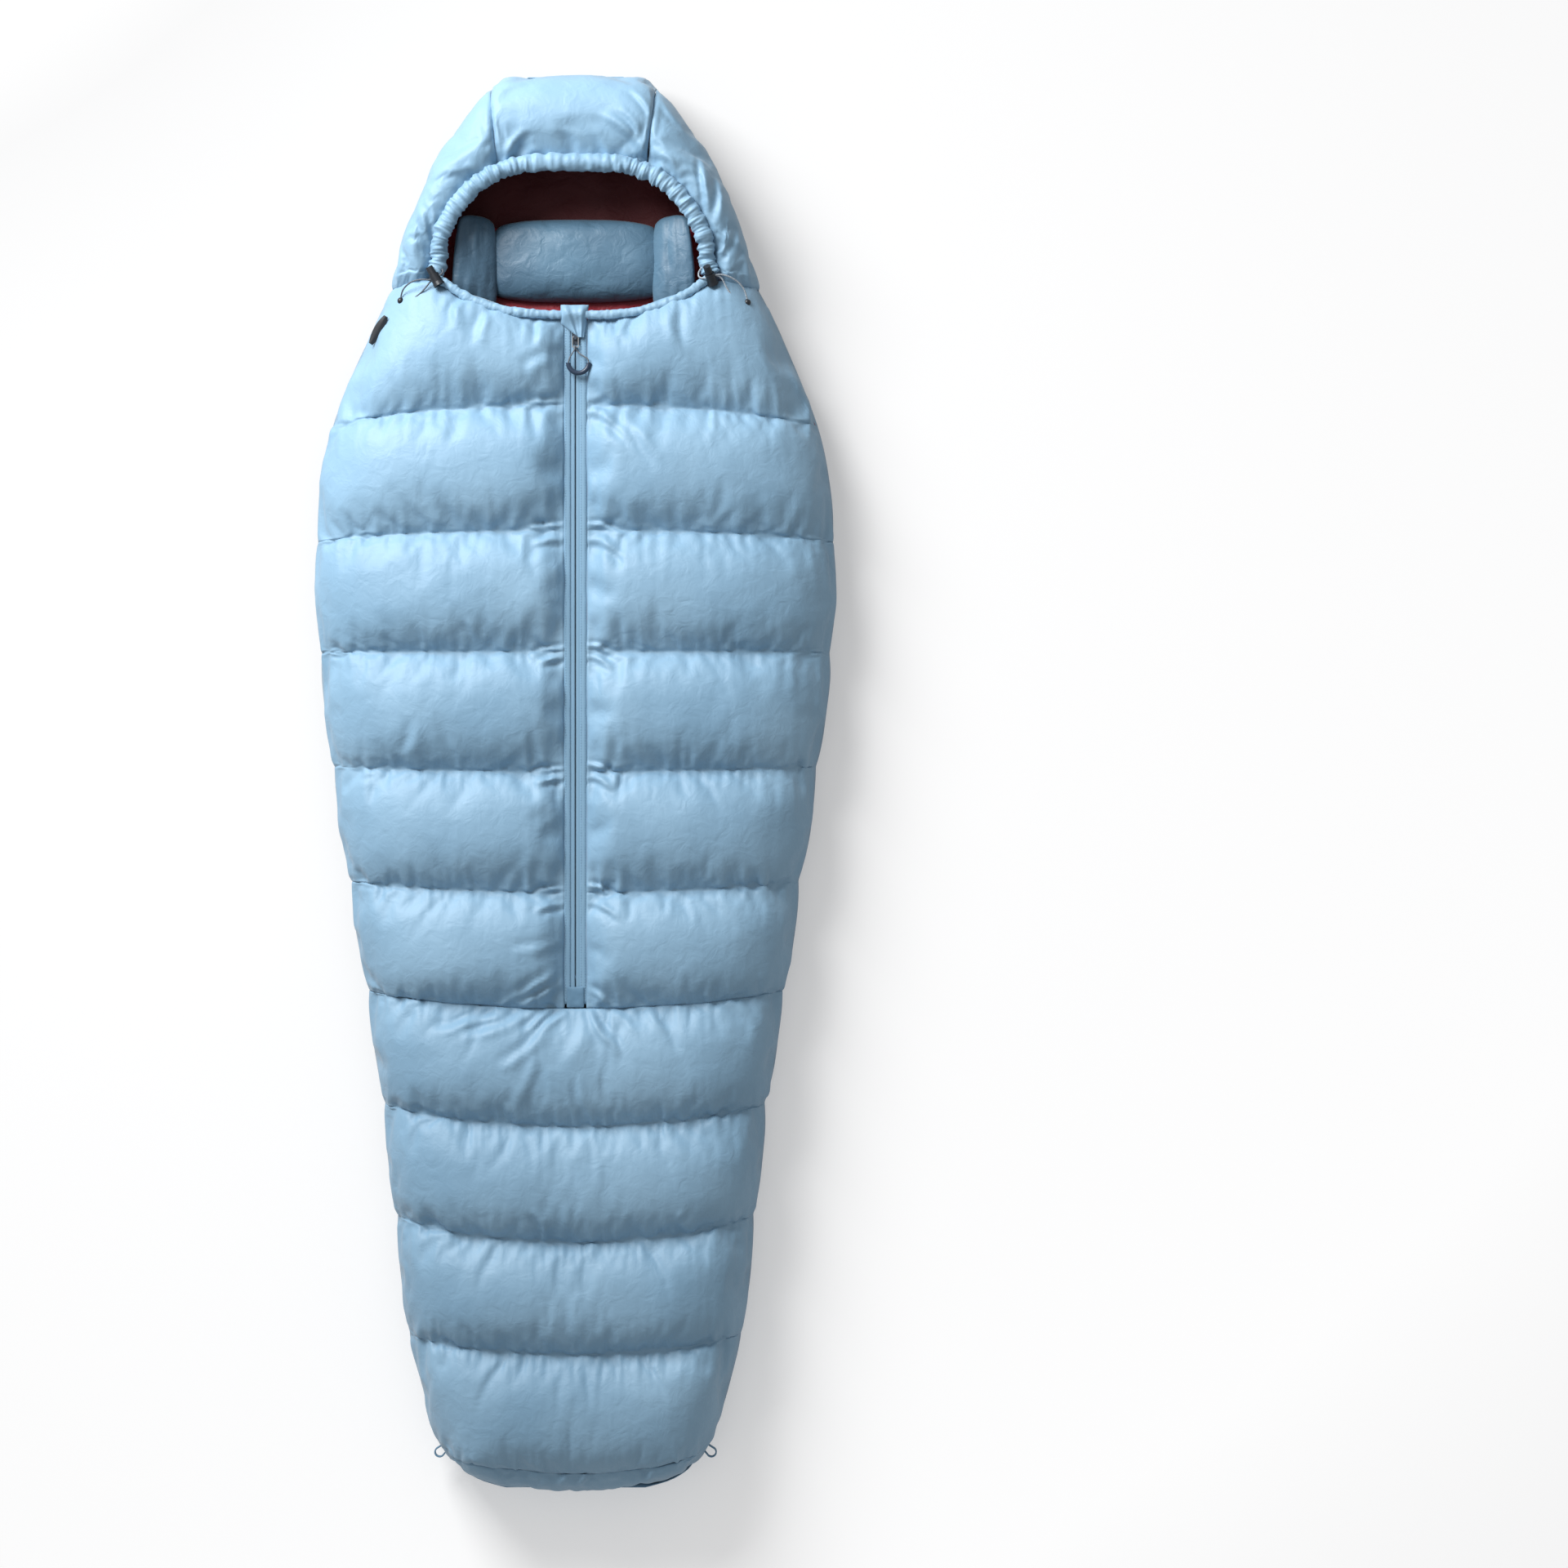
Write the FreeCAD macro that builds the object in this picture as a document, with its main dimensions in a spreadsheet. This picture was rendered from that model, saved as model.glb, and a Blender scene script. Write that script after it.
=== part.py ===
"""Mummy sleeping bag: quilted shell, hood, draft collar, front zip, cord locks and cords."""
import FreeCAD, Part
import Sketcher
import math
import os
from FreeCAD import Placement, Rotation, Vector

doc = FreeCAD.newDocument("mummy_sleeping_bag")
sheet = doc.addObject("Spreadsheet::Sheet", "Sizes")

# Driving dimensions, in millimetres. X is across the bag, Y runs to the head, Z is up.
SIZES = {
    # loft of the quilt
    "back_loft": 33.5,
    "lining_cloth": 0.5,
    "side_level": 34.3,
    "body_loft": 125.0,
    "foot_loft": 138.0,
    "roof_level": 92.0,
    "seam_depth": 11.0,
    "seam_gap": 0.5,
    "back_round": 17.0,
    "back_seam_rise": 5.0,
    # zip: a reversed coil zip in the middle of the front
    "zip_centre": 4.0,
    "zip_half_width": 16.0,
    "zip_groove": 1.6,
    "zip_top": 684.0,
    "zip_bottom": -326.0,
    "tape_level": 106.0,
    "tape_cloth": 0.8,
    "coil_width": 2.4,
    "coil_height": 2.4,
    "tube_height": 11.0,
    "patch_length": 30.0,
    "patch_width": 25.0,
    "patch_cloth": 1.0,
    "garage_width": 48.0,
    "garage_length": 34.0,
    "garage_cloth": 3.0,
    # slider and its pull
    "slider_y": 654.0,
    "slider_travel": 920.0,
    "slider_length": 17.0,
    "slider_width": 11.0,
    "slider_plate": 1.5,
    "slider_post": 1.0,
    "slider_play": 0.3,
    "crown_width": 4.0,
    "crown_length": 8.0,
    "crown_height": 4.2,
    "crown_bore": 2.2,
    "tab_width": 10.0,
    "tab_reach": 15.0,
    "tab_bar": 1.4,
    "pull_cord_width": 2.0,
    "grip_width": 37.0,
    "grip_thickness": 7.2,
    # hood
    "hem_height": 24.0,
    "channel_width": 8.0,
    "drawcord_width": 2.4,
    "collar_loft": 22.0,
    "collar_wing": 66.0,
    "collar_low": 716.0,
    "collar_high": 834.0,
    "neck_hem_width": 10.0,
    # cord locks
    "lock_width": 15.0,
    "lock_flange": 17.5,
    "lock_flange_length": 6.0,
    "lock_length": 17.5,
    "lock_bore": 11.6,
    "lock_floor": 2.5,
    "lock_hole": 5.6,
    "lock_hole_at": 12.0,
    "plunger_play": 0.3,
    "plunger_travel": 4.0,
    "plunger_reach": 30.5,
    "spring_length": 4.6,
    "spring_wire": 0.8,
    "ball_width": 10.0,
    # trim
    "foot_half": 190.0,
    "loop_width": 14.0,
    "loop_reach": 19.0,
    "loop_eye": 7.0,
    "loop_webbing": 1.6,
    "label_length": 42.0,
    "label_width": 10.0,
    "neck_label_length": 84.0,
    "neck_label_width": 16.0,
    "label_cloth": 0.8,
}

# Quilting seams from the neck to the foot: place on the centre line, how far the
# side end lies toward the head, and half the bag's width there.
SEAMS = [
    (684.0, 58.0, 272.0),
    (557.0, -27.0, 367.0),
    (372.0, -14.0, 389.0),
    (193.0, 0.0, 384.0),
    (16.0, 8.0, 364.0),
    (-162.0, 16.0, 338.0),
    (-333.0, 24.0, 313.0),
    (-506.0, 29.0, 288.0),
    (-676.0, 33.0, 270.0),
    (-840.0, 22.0, 252.0),
    (-1016.0, 30.0, 205.0),
]
for count, (middle, rise, half) in enumerate(SEAMS):
    SIZES[f"seam_{count}_y"] = middle
    SIZES[f"seam_{count}_rise"] = rise
    SIZES[f"seam_{count}_half"] = half

# Hood rim from a side's lower end to the crown: the hem's inner edge, its outer
# edge, the hood's outline, each as x and y, and the rim's level.
RIM = [
    ((185.0, 766.0), (211.0, 766.0), (264.0, 768.0), 104.0),
    ((181.0, 800.0), (207.0, 802.0), (251.0, 804.0), 116.0),
    ((163.0, 832.0), (186.0, 847.0), (222.0, 877.0), 124.0),
    ((135.0, 864.0), (152.0, 886.0), (187.0, 950.0), 128.0),
    ((103.0, 884.0), (112.0, 909.0), (123.0, 1034.0), 128.0),
    ((57.0, 895.0), (61.0, 922.0), (78.0, 1050.0), 128.0),
]
for count, (inner, outer, edge, level) in enumerate(RIM):
    for name, point in (("inner", inner), ("outer", outer), ("edge", edge)):
        SIZES[f"rim_{count}_{name}_x"] = point[0]
        SIZES[f"rim_{count}_{name}_y"] = point[1]
    SIZES[f"rim_{count}_level"] = level

# End of the foot, at the same steps from the middle to the side as the seams.
FOOT_EDGE = (-1050.0, -1049.0, -1042.0, -1026.0, -1012.0, -1003.0)
for count, along in enumerate(FOOT_EDGE):
    SIZES[f"foot_{count}_y"] = along

for row, (name, number) in enumerate(SIZES.items(), start=1):
    sheet.set(f"A{row}", str(number))
    sheet.setAlias(f"A{row}", name)
doc.recompute()

pieces = {}


def size(name):
    """The sheet's cell as an expression."""
    return f"Sizes.{name}"


def worth(expression):
    """The number that an expression has now."""
    found = sheet.evalExpression(str(expression))
    return float(getattr(found, "Value", found))


def mix(start, end, share):
    """The expression for a place part of the way from one place to another."""
    if share == 0:
        return f"({start})"
    if share == 1:
        return f"({end})"
    return f"(({start}) + {share} * (({end}) - ({start})))"


def plane(body, role):
    """One of the body's own origin planes."""
    return next(part for part in body.Origin.OriginFeatures if part.Role == role)


def keep(name, item):
    """Keep an object as a finished piece under its own label."""
    item.Label = name
    pieces[name] = item
    return item


# Sketches and features


def draw(sketch, corners):
    """Draw a closed outline whose every corner is set by two expressions."""
    spots = [Vector(worth(across), worth(up), 0) for across, up in corners]
    total = len(corners)
    for index in range(total):
        line = Part.LineSegment(spots[index], spots[(index + 1) % total])
        sketch.addGeometry(line, False)
    for index, (across, up) in enumerate(corners):
        before = (index - 1) % total
        sketch.addConstraint(Sketcher.Constraint("Coincident", before, 2, index, 1))
        for kind, expression, number in (
            ("DistanceX", across, spots[index].x),
            ("DistanceY", up, spots[index].y),
        ):
            rule = sketch.addConstraint(Sketcher.Constraint(kind, -1, 1, index, 1, number))
            sketch.setExpression(f"Constraints[{rule}]", str(expression))


def upright_section(body, name, low, high, corners):
    """A sketch on the upright plane through two places on the floor, low and high.

    Each corner is a share of the way from low to high, and a level. Half a seam's
    gap is left at both ends.
    """
    (low_x, low_y), (high_x, high_y) = low, high
    run = f"sqrt((({high_x}) - ({low_x}))^2 + (({high_y}) - ({low_y}))^2)"
    turn = f"atan2(({high_y}) - ({low_y}); ({high_x}) - ({low_x}))"
    sketch = body.newObject("Sketcher::SketchObject", name)
    sketch.AttachmentSupport = [(plane(body, "XZ_Plane"), "")]
    sketch.MapMode = "FlatFace"
    sketch.AttachmentOffset = Placement(Vector(), Rotation(Vector(0, 1, 0), 1))
    sketch.setExpression(".AttachmentOffset.Base.x", str(low_x))
    sketch.setExpression(".AttachmentOffset.Base.z", f"-({low_y})")
    sketch.setExpression(".AttachmentOffset.Rotation.Angle", turn)
    outline = []
    for share, level in corners:
        inset = {0: f" + {size('seam_gap')} / 2", 1: f" - {size('seam_gap')} / 2"}
        outline.append((f"{share} * {run}{inset.get(share, '')}", level))
    draw(sketch, outline)
    return sketch


def quilted(name, sections):
    """A padded panel through a row of upright sections."""
    body = doc.addObject("PartDesign::Body", name)
    sketches = [
        upright_section(body, f"{name}_section_{count}", *section)
        for count, section in enumerate(sections)
    ]
    loft = body.newObject("PartDesign::AdditiveLoft", f"{name}_loft")
    loft.Profile = sketches[0]
    loft.Sections = sketches[1:]
    loft.Ruled = True
    doc.recompute()
    return keep(name, body)


def slab(name, outline, level, height):
    """A flat piece: an outline drawn at a level and padded upward."""
    body = doc.addObject("PartDesign::Body", name)
    sketch = body.newObject("Sketcher::SketchObject", f"{name}_outline")
    sketch.AttachmentSupport = [(plane(body, "XY_Plane"), "")]
    sketch.MapMode = "FlatFace"
    sketch.setExpression(".AttachmentOffset.Base.z", str(level))
    draw(sketch, outline)
    pad = body.newObject("PartDesign::Pad", f"{name}_pad")
    pad.Profile = sketch
    pad.setExpression("Length", str(height))
    doc.recompute()
    return body


def pocket(body, name, outline, level, depth):
    """Cut an outline out of a slab, downward from a level."""
    sketch = body.newObject("Sketcher::SketchObject", f"{name}_cut_outline")
    sketch.AttachmentSupport = [(plane(body, "XY_Plane"), "")]
    sketch.MapMode = "FlatFace"
    sketch.setExpression(".AttachmentOffset.Base.z", str(level))
    draw(sketch, outline)
    cut = body.newObject("PartDesign::Pocket", f"{name}_cut")
    cut.Profile = sketch
    cut.setExpression("Length", str(depth))
    before = body.Shape.Volume
    doc.recompute()
    if body.Shape.Volume >= before:
        raise ValueError(f"{name}: the pocket cuts nothing")
    return body


def block(x_low, x_high, y_low, y_high):
    """The four corners of an upright rectangle seen from above."""
    return [(x_low, y_low), (x_high, y_low), (x_high, y_high), (x_low, y_high)]


# Quilt of the front: chambers on each side of the zip, then chambers across the legs

# Share of the way from the zip to the side, how much of the seam's rise is reached
# there, and how much of the loft and of the seam's depth the quilt has there.
ACROSS = [
    (0.0, 0.0, 0.846, 0.27),
    (0.16, 0.03, 1.0, 1.0),
    (0.55, 0.3, 0.97, 1.0),
    (0.82, 0.67, 0.80, 0.9),
    (0.95, 0.9, 0.48, 0.5),
    (1.0, 1.0, 0.20, 0.2),
]
NECK_RISE = (0.0, 0.03, 0.62, 1.0, 1.0, 1.0)


def seam_place(seam, side, step):
    """Where a front seam crosses one of the steps between the zip and the side."""
    share, rise, _, _ = ACROSS[step]
    rise = NECK_RISE[step] if seam == 0 else rise
    inner = f"{size('zip_centre')} + {side} * {size('zip_half_width')}"
    across = mix(inner, f"{side} * {size(f'seam_{seam}_half')}", share)
    along = f"{size(f'seam_{seam}_y')} + {rise} * {size(f'seam_{seam}_rise')}"
    return across, along


def quilt_corners(step, loft, open_end=False):
    """A chamber's section: flat roof of the hollow below, puffed top above."""
    share, _, height, depth = ACROSS[step]
    if open_end and step == 0:
        height, depth = 1.0, 1.0
    base = mix(size("roof_level"), size("side_level"), share)
    crown = mix(size("side_level"), loft, height)
    valley = f"({crown}) - {depth} * {size('seam_depth')}"
    return [(0, base), (1, base), (1, valley), (0.72, crown), (0.28, crown), (0, valley)]


for word, side in (("left", -1), ("right", 1)):
    for chamber in range(6):
        quilted(
            f"front_baffle_{word}_{chamber + 1}",
            [
                (
                    seam_place(chamber + 1, side, step),
                    seam_place(chamber, side, step),
                    quilt_corners(step, size("body_loft")),
                )
                for step in range(len(ACROSS))
            ],
        )

LEG_STEPS = [(-1, step) for step in range(5, -1, -1)] + [(1, step) for step in range(6)]
for chamber in range(4):
    loft = mix(size("body_loft"), size("foot_loft"), chamber / 3)
    quilted(
        f"front_lower_baffle_{chamber + 1}",
        [
            (
                seam_place(chamber + 7, side, step),
                seam_place(chamber + 6, side, step),
                quilt_corners(step, loft, open_end=True),
            )
            for side, step in LEG_STEPS
        ],
    )

# End of the foot: a stuffed panel from the last seam down to the floor side


def foot_place(side, step):
    """A place on the outer edge of the foot."""
    inner = f"{size('zip_centre')} + {side} * {size('zip_half_width')}"
    across = mix(inner, f"{side} * {size('foot_half')}", ACROSS[step][0])
    return across, size(f"foot_{step}_y")


def foot_corners(step):
    """The foot's end: low at its outer edge, as high as the last seam inside."""
    _, _, height, depth = ACROSS[step]
    if step == 0:
        height, depth = 1.0, 1.0
    crown = mix(size("side_level"), size("foot_loft"), height)
    valley = f"({crown}) - {depth} * {size('seam_depth')}"
    middle = mix(size("side_level"), valley, 0.8)
    edge = mix(size("side_level"), valley, 0.42)
    return [(0, size("side_level")), (1, size("side_level")), (1, valley), (0.45, middle), (0, edge)]


quilted(
    "foot_end_panel",
    [
        (
            foot_place(side, step),
            seam_place(10, side, step),
            foot_corners(step),
        )
        for side, step in LEG_STEPS
    ],
)

# Quilt of the back, which lies on the ground: straight chambers of one thickness
BACK_STEPS = [(-1.0, 1.0), (-0.88, 0.0), (0.88, 0.0), (1.0, 1.0)]


def back_corners(lift):
    """A back chamber's section: rounded below at its seams, flat on top."""
    low = f"{lift} * {size('back_round')}"
    seam = f"({low}) + {1 - 0.6 * lift} * {size('back_seam_rise')}"
    top = size("back_loft")
    return [(0, seam), (0.12, low), (0.88, low), (1, seam), (1, top), (0, top)]


def back_place(seam, share):
    """Where a back seam crosses a share of the half width."""
    across = f"{share} * {size(f'seam_{seam}_half')}"
    return across, f"{size(f'seam_{seam}_y')} + {size(f'seam_{seam}_rise')}"


for chamber in range(9):
    quilted(
        f"back_baffle_{chamber + 1}",
        [
            (back_place(chamber + 1, share), back_place(chamber, share), back_corners(lift))
            for share, lift in BACK_STEPS
        ],
    )

inner_edge = f"{size('zip_centre')} + {{side}} * {size('zip_half_width')}"
quilted(
    "back_baffle_10",
    [
        (
            foot_place(side, step),
            (
                mix(inner_edge.format(side=side), f"{side} * {size('seam_9_half')}", ACROSS[step][0]),
                f"{size('seam_9_y')} + {size('seam_9_rise')}",
            ),
            back_corners(1.0 if step == 5 else 0.0),
        )
        for side, step in LEG_STEPS
    ],
)

# Hood: a pad behind the head, two side panels, a crown panel and the hem of the opening


def rim_place(count, edge, side):
    """A place on the hood's rim."""
    return f"{side} * {size(f'rim_{count}_{edge}_x')}", size(f"rim_{count}_{edge}_y")


neck_line = f"{size('seam_0_y')} + {size('seam_0_rise')}"


def notch_place(across, side):
    """A place on the line where the hood meets the shoulders."""
    return f"{side} * {across}", neck_line


hood_pad = [(rim_place(count, "edge", side), side) for side in (-1, 1) for count in range(6)]
hood_pad = hood_pad[:6] + hood_pad[6:][::-1]
quilted(
    "hood_back_pad",
    [
        ((place[0], neck_line), place, back_corners(1.0 if count in (0, 11) else 0.0))
        for count, (place, side) in enumerate(hood_pad)
    ],
)


def hood_corners(level):
    """A hood panel's section from the hem out and down to the side."""
    hem_low = f"({level}) - {size('hem_height')} * 0.6"
    top = f"({level}) + {size('hem_height')} * 0.42"
    side_top = mix(size("side_level"), level, 0.30)
    shoulder = mix(size("side_level"), level, 0.86)
    floor = size("side_level")
    return [(0, hem_low), (1, floor), (1, side_top), (0.72, shoulder), (0.30, top), (0, level)]


for word, side in (("left", -1), ("right", 1)):
    neck_station = [
        (
            notch_place(size("rim_0_outer_x"), side),
            notch_place(size("seam_0_half"), side),
            hood_corners(f"{size('rim_0_level')} - 6"),
        )
    ]
    quilted(
        f"hood_{word}_panel",
        neck_station
        + [
            (
                rim_place(count, "outer", side),
                rim_place(count, "edge", side),
                hood_corners(size(f"rim_{count}_level")),
            )
            for count in range(5)
        ],
    )


def shifted(place, amount):
    """A place moved along X."""
    return f"({place[0]}) + ({amount})", place[1]


crown_stations = []
for side, count in ((-1, 4), (-1, 5), (1, 5), (1, 4)):
    nudge = f"{-side} * {size('seam_gap')}" if count == 4 else "0"
    crown_stations.append(
        (
            shifted(rim_place(count, "outer", side), nudge),
            shifted(rim_place(count, "edge", side), nudge),
            hood_corners(size(f"rim_{count}_level")),
        )
    )
quilted("hood_crown_panel", crown_stations)


def hem_corners(level):
    """The hem is a stuffed tube."""
    half = f"{size('hem_height')} / 2"
    small = f"{size('hem_height')} / 5"
    return [
        (0, f"({level}) - {small}"),
        (0.3, f"({level}) - {half}"),
        (0.7, f"({level}) - {half}"),
        (1, f"({level}) - {small}"),
        (1, f"({level}) + {small}"),
        (0.7, f"({level}) + {half}"),
        (0.3, f"({level}) + {half}"),
        (0, f"({level}) + {small}"),
    ]


RIM_ORDER = [(-1, count) for count in range(6)] + [(1, count) for count in range(5, -1, -1)]
hem_blank = quilted(
    "hood_hem_blank",
    [
        (
            rim_place(count, "inner", side),
            rim_place(count, "outer", side),
            hem_corners(size(f"rim_{count}_level")),
        )
        for side, count in RIM_ORDER
    ],
)
del pieces["hood_hem_blank"]


# Cords: straight runs joined by arcs that touch both runs


def cord_path(points):
    """The wire of a cord's route, and the radius of each of its arcs."""
    edges, radii, start = [], [], points[0]
    for before, corner, after in zip(points, points[1:], points[2:]):
        back, ahead = before - corner, after - corner
        half_turn = (math.pi - back.getAngle(ahead)) / 2
        cut = 0.45 * min(back.Length, ahead.Length)
        radii.append(cut / math.tan(half_turn))
        first = corner + Vector(back).normalize() * cut
        last = corner + Vector(ahead).normalize() * cut
        inward = (Vector(back).normalize() + Vector(ahead).normalize()).normalize()
        reach = radii[-1] / math.cos(half_turn) - radii[-1]
        edges.append(Part.LineSegment(start, first).toShape())
        edges.append(Part.Arc(first, corner + inward * reach, last).toShape())
        start = last
    edges.append(Part.LineSegment(start, points[-1]).toShape())
    return Part.Wire(edges), radii


def cord_tube(name, points, width):
    """A round cord along its route."""
    path, radii = cord_path(points)
    ring = Part.Wire(Part.Circle(points[0], points[1] - points[0], width / 2).toShape())
    tube = path.makePipeShell([ring], True, False)
    section = math.pi * width**2 / 4
    share = tube.Volume / (section * path.Length)
    print(f"{name}: {path.Length:.1f} mm, volume share {share:.4f}, radii",
          " ".join(f"{radius:.1f}" for radius in radii))
    return tube


def plain(name, shape):
    """A piece whose shape is worked out here from the sheet's sizes."""
    item = doc.addObject("Part::Feature", name)
    item.Shape = shape
    item.Placement = Placement()
    return item


def spot(place, level):
    """A point from a place and a level, both expressions."""
    return Vector(worth(place[0]), worth(place[1]), worth(level))


hem_line = []
for side, count in RIM_ORDER:
    inner, outer = rim_place(count, "inner", side), rim_place(count, "outer", side)
    middle = (mix(inner[0], outer[0], 0.5), mix(inner[1], outer[1], 0.5))
    hem_line.append(spot(middle, size(f"rim_{count}_level")))
past = [hem_line[0] + (hem_line[0] - hem_line[1]).normalize() * 5]
past += hem_line + [hem_line[-1] + (hem_line[-1] - hem_line[-2]).normalize() * 5]
past = [past[0]] + past[2:-2] + [past[-1]]
channel = plain("hem_channel", cord_tube("hem_channel", past, worth(size("channel_width"))))
hem = doc.addObject("Part::Cut", "hood_hem")
hem.Base = hem_blank
hem.Tool = channel
keep("hood_hem", hem)
keep(
    "hood_drawcord",
    plain("hood_drawcord", cord_tube("hood_drawcord", hem_line, worth(size("drawcord_width")))),
)

# Hem of the neck: a narrow stuffed band on each side of the zip


def neck_place(side, share, rise, outward):
    """A place along the neck seam, a way out from it toward the head."""
    inner = f"{size('zip_centre')} + {side} * {size('zip_half_width')}"
    across = mix(inner, f"{side} * {size('seam_0_half')}", share)
    along = f"{size('seam_0_y')} + {rise} * {size('seam_0_rise')}"
    lean, reach = outward
    width = size("neck_hem_width")
    return f"({across}) - {side} * {lean} * {width}", f"({along}) + {reach} * {width}"


def neck_corners(height, depth):
    """The neck hem lies level with the seam that it is sewn into."""
    crown = mix(size("side_level"), size("body_loft"), height)
    top = f"({crown}) - {depth} * {size('seam_depth')}"
    low = f"({top}) - {size('neck_hem_width')}"
    return [(0, low), (1, f"({low}) + 2"), (1, f"({top}) - 1"), (0.5, f"({top}) + 1.5"), (0, top)]


NECK_STEPS = [
    (0.0, 0.0, (0.0, 1.0), 0.846, 0.27),
    (0.16, 0.03, (0.1, 1.0), 1.0, 1.0),
    (0.55, 0.62, (0.55, 0.85), 0.97, 1.0),
    (0.69, 0.817, (0.45, 0.9), 0.88, 0.95),
]
neck_bands = []
for word, side in (("left", -1), ("right", 1)):
    neck_bands.append(
        quilted(
            f"neck_band_{word}",
            [
                (
                    neck_place(side, share, rise, (0.0, 0.0)),
                    neck_place(side, share, rise, outward),
                    neck_corners(height, depth),
                )
                for share, rise, outward, height, depth in NECK_STEPS
            ],
        )
    )
    del pieces[f"neck_band_{word}"]


def group(name, members):
    """Separate solids that share one node."""
    item = doc.addObject("Part::Compound", name)
    item.Links = members
    return keep(name, item)


group("neck_hem", neck_bands)

# Lining, draft collar and labels inside
lining_level = f"{size('back_loft')} + 0.1"
lining_edge = [
    (f"0.94 * {size(f'seam_{count}_half')}",
     f"{size(f'seam_{count}_y')} + {size(f'seam_{count}_rise')}")
    for count in range(10, -1, -1)
]
lining_edge += [
    (f"0.93 * {size(f'rim_{count}_edge_x')}", f"{size(f'rim_{count}_edge_y')} - 12")
    for count in range(1, 6)
]
lining_edge += [(f"-({across})", along) for across, along in lining_edge[::-1]]
keep("lining", slab("lining", lining_edge, lining_level, size("lining_cloth")))

COLLAR = [(166.0, 32.0, 1.0), (128.0, 12.0, 0.62), (60.0, 0.0, 0.0)]


def collar_station(side, across, inset, share):
    """The collar is low behind the neck and rises to a wing at each side."""
    top = f"{size('side_level')} + " + mix(size("collar_loft"), size("collar_wing"), share)
    low = size("side_level")
    return (
        (f"{side} * {across}", f"{size('collar_low')} + {inset}"),
        (f"{side} * {across}", f"{size('collar_high')} - {inset} * 0.3"),
        [(0, low), (1, low), (1, f"({top}) - 9"), (0.75, top), (0.25, top), (0, f"({top}) - 9")],
    )


quilted(
    "draft_collar",
    [collar_station(-1, *row) for row in COLLAR] + [collar_station(1, *row) for row in COLLAR[::-1]],
)
label_level = f"{lining_level} + {size('lining_cloth')} + 0.1"
half_label = f"{size('neck_label_length')} / 2"
neck_label_high = f"{size('collar_low')} - 0.4"
neck_label_low = f"{neck_label_high} - {size('neck_label_width')}"
keep(
    "neck_label",
    slab(
        "neck_label",
        block(f"-{half_label}", half_label, neck_label_low, neck_label_high),
        label_level,
        f"{size('label_cloth')} / 2",
    ),
)

# Side label, flat on the first chamber of the left side, near its edge


def facet_point(step, share):
    """A point on the crown of the first left chamber."""
    low, high = seam_place(1, -1, step), seam_place(0, -1, step)
    _, _, height, _ = ACROSS[step]
    crown = mix(size("side_level"), size("body_loft"), height)
    place = (mix(low[0], high[0], share), mix(low[1], high[1], share))
    return spot(place, crown)


near, far = facet_point(3, 0.60), facet_point(4, 0.60)
along = (facet_point(4, 0.70) - facet_point(4, 0.50)).normalize()
outward = (far - near).normalize()
upward = outward.cross(along).normalize()
if upward.z < 0:
    upward = -upward
label = doc.addObject("Part::Box", "side_label")
label.setExpression("Length", size("label_length"))
label.setExpression("Width", size("label_width"))
label.setExpression("Height", size("label_cloth"))
sideways = upward.cross(along)
corner = near + (far - near) * 0.72 - along * worth(size("label_length")) / 2
corner = corner - sideways * worth(size("label_width")) / 2 + upward * 0.6
label.Placement = Placement(corner, Rotation(along, sideways, upward, "ZXY"))
keep("side_label", label)

# Zip: two tapes, coils under them, stops, patch, garage and the tube behind
zip_left = f"({size('zip_centre')}) - {size('zip_half_width')} + 0.3"
zip_right = f"({size('zip_centre')}) + {size('zip_half_width')} - 0.3"
groove_left = f"{size('zip_centre')} - {size('zip_groove')} / 2"
groove_right = f"{size('zip_centre')} + {size('zip_groove')} / 2"
coil_low = f"{size('tape_level')} - {size('coil_height')}"
coil_top_y = f"{size('slider_y')} + {size('slider_length')} / 2 + 1.5"
travel_end = f"{size('slider_y')} - {size('slider_travel')} - {size('slider_length')} / 2"
coil_bottom_y = f"{travel_end} - 9"
tape = size("tape_cloth")
for name, low, high in (
    ("zip_tape_left", zip_left, groove_left),
    ("zip_tape_right", groove_right, zip_right),
):
    outline = block(low, high, size("zip_bottom"), size("zip_top"))
    keep(name, slab(name, outline, size("tape_level"), tape))

coil_sides = (
    ("left", f"{groove_left} - {size('coil_width')}", groove_left),
    ("right", groove_right, f"{groove_right} + {size('coil_width')}"),
)
coils, stops = [], []
for word, low, high in coil_sides:
    outline = block(low, high, coil_bottom_y, coil_top_y)
    coils.append(slab(f"zip_coil_{word}", outline, coil_low, size("coil_height")))
    outline = block(low, high, f"{coil_top_y} + 0.2", f"{coil_top_y} + 3.2")
    stops.append(slab(f"top_stop_{word}", outline, coil_low, size("coil_height")))
outline = block(coil_sides[0][1], coil_sides[1][2], f"{coil_bottom_y} - 5", f"{coil_bottom_y} - 0.2")
stops.append(slab("bottom_stop", outline, coil_low, size("coil_height")))
group("zip_coils", coils)
group("zip_stops", stops)

patch_level = f"{size('tape_level')} + {tape} + 0.2"
patch_low = f"{size('zip_bottom')} - 5"
half_patch = f"{size('patch_width')} / 2"
outline = block(
    f"{size('zip_centre')} - {half_patch}",
    f"{size('zip_centre')} + {half_patch}",
    patch_low,
    f"{patch_low} + {size('patch_length')}",
)
keep("zip_bottom_patch", slab("zip_bottom_patch", outline, patch_level, size("patch_cloth")))

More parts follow.
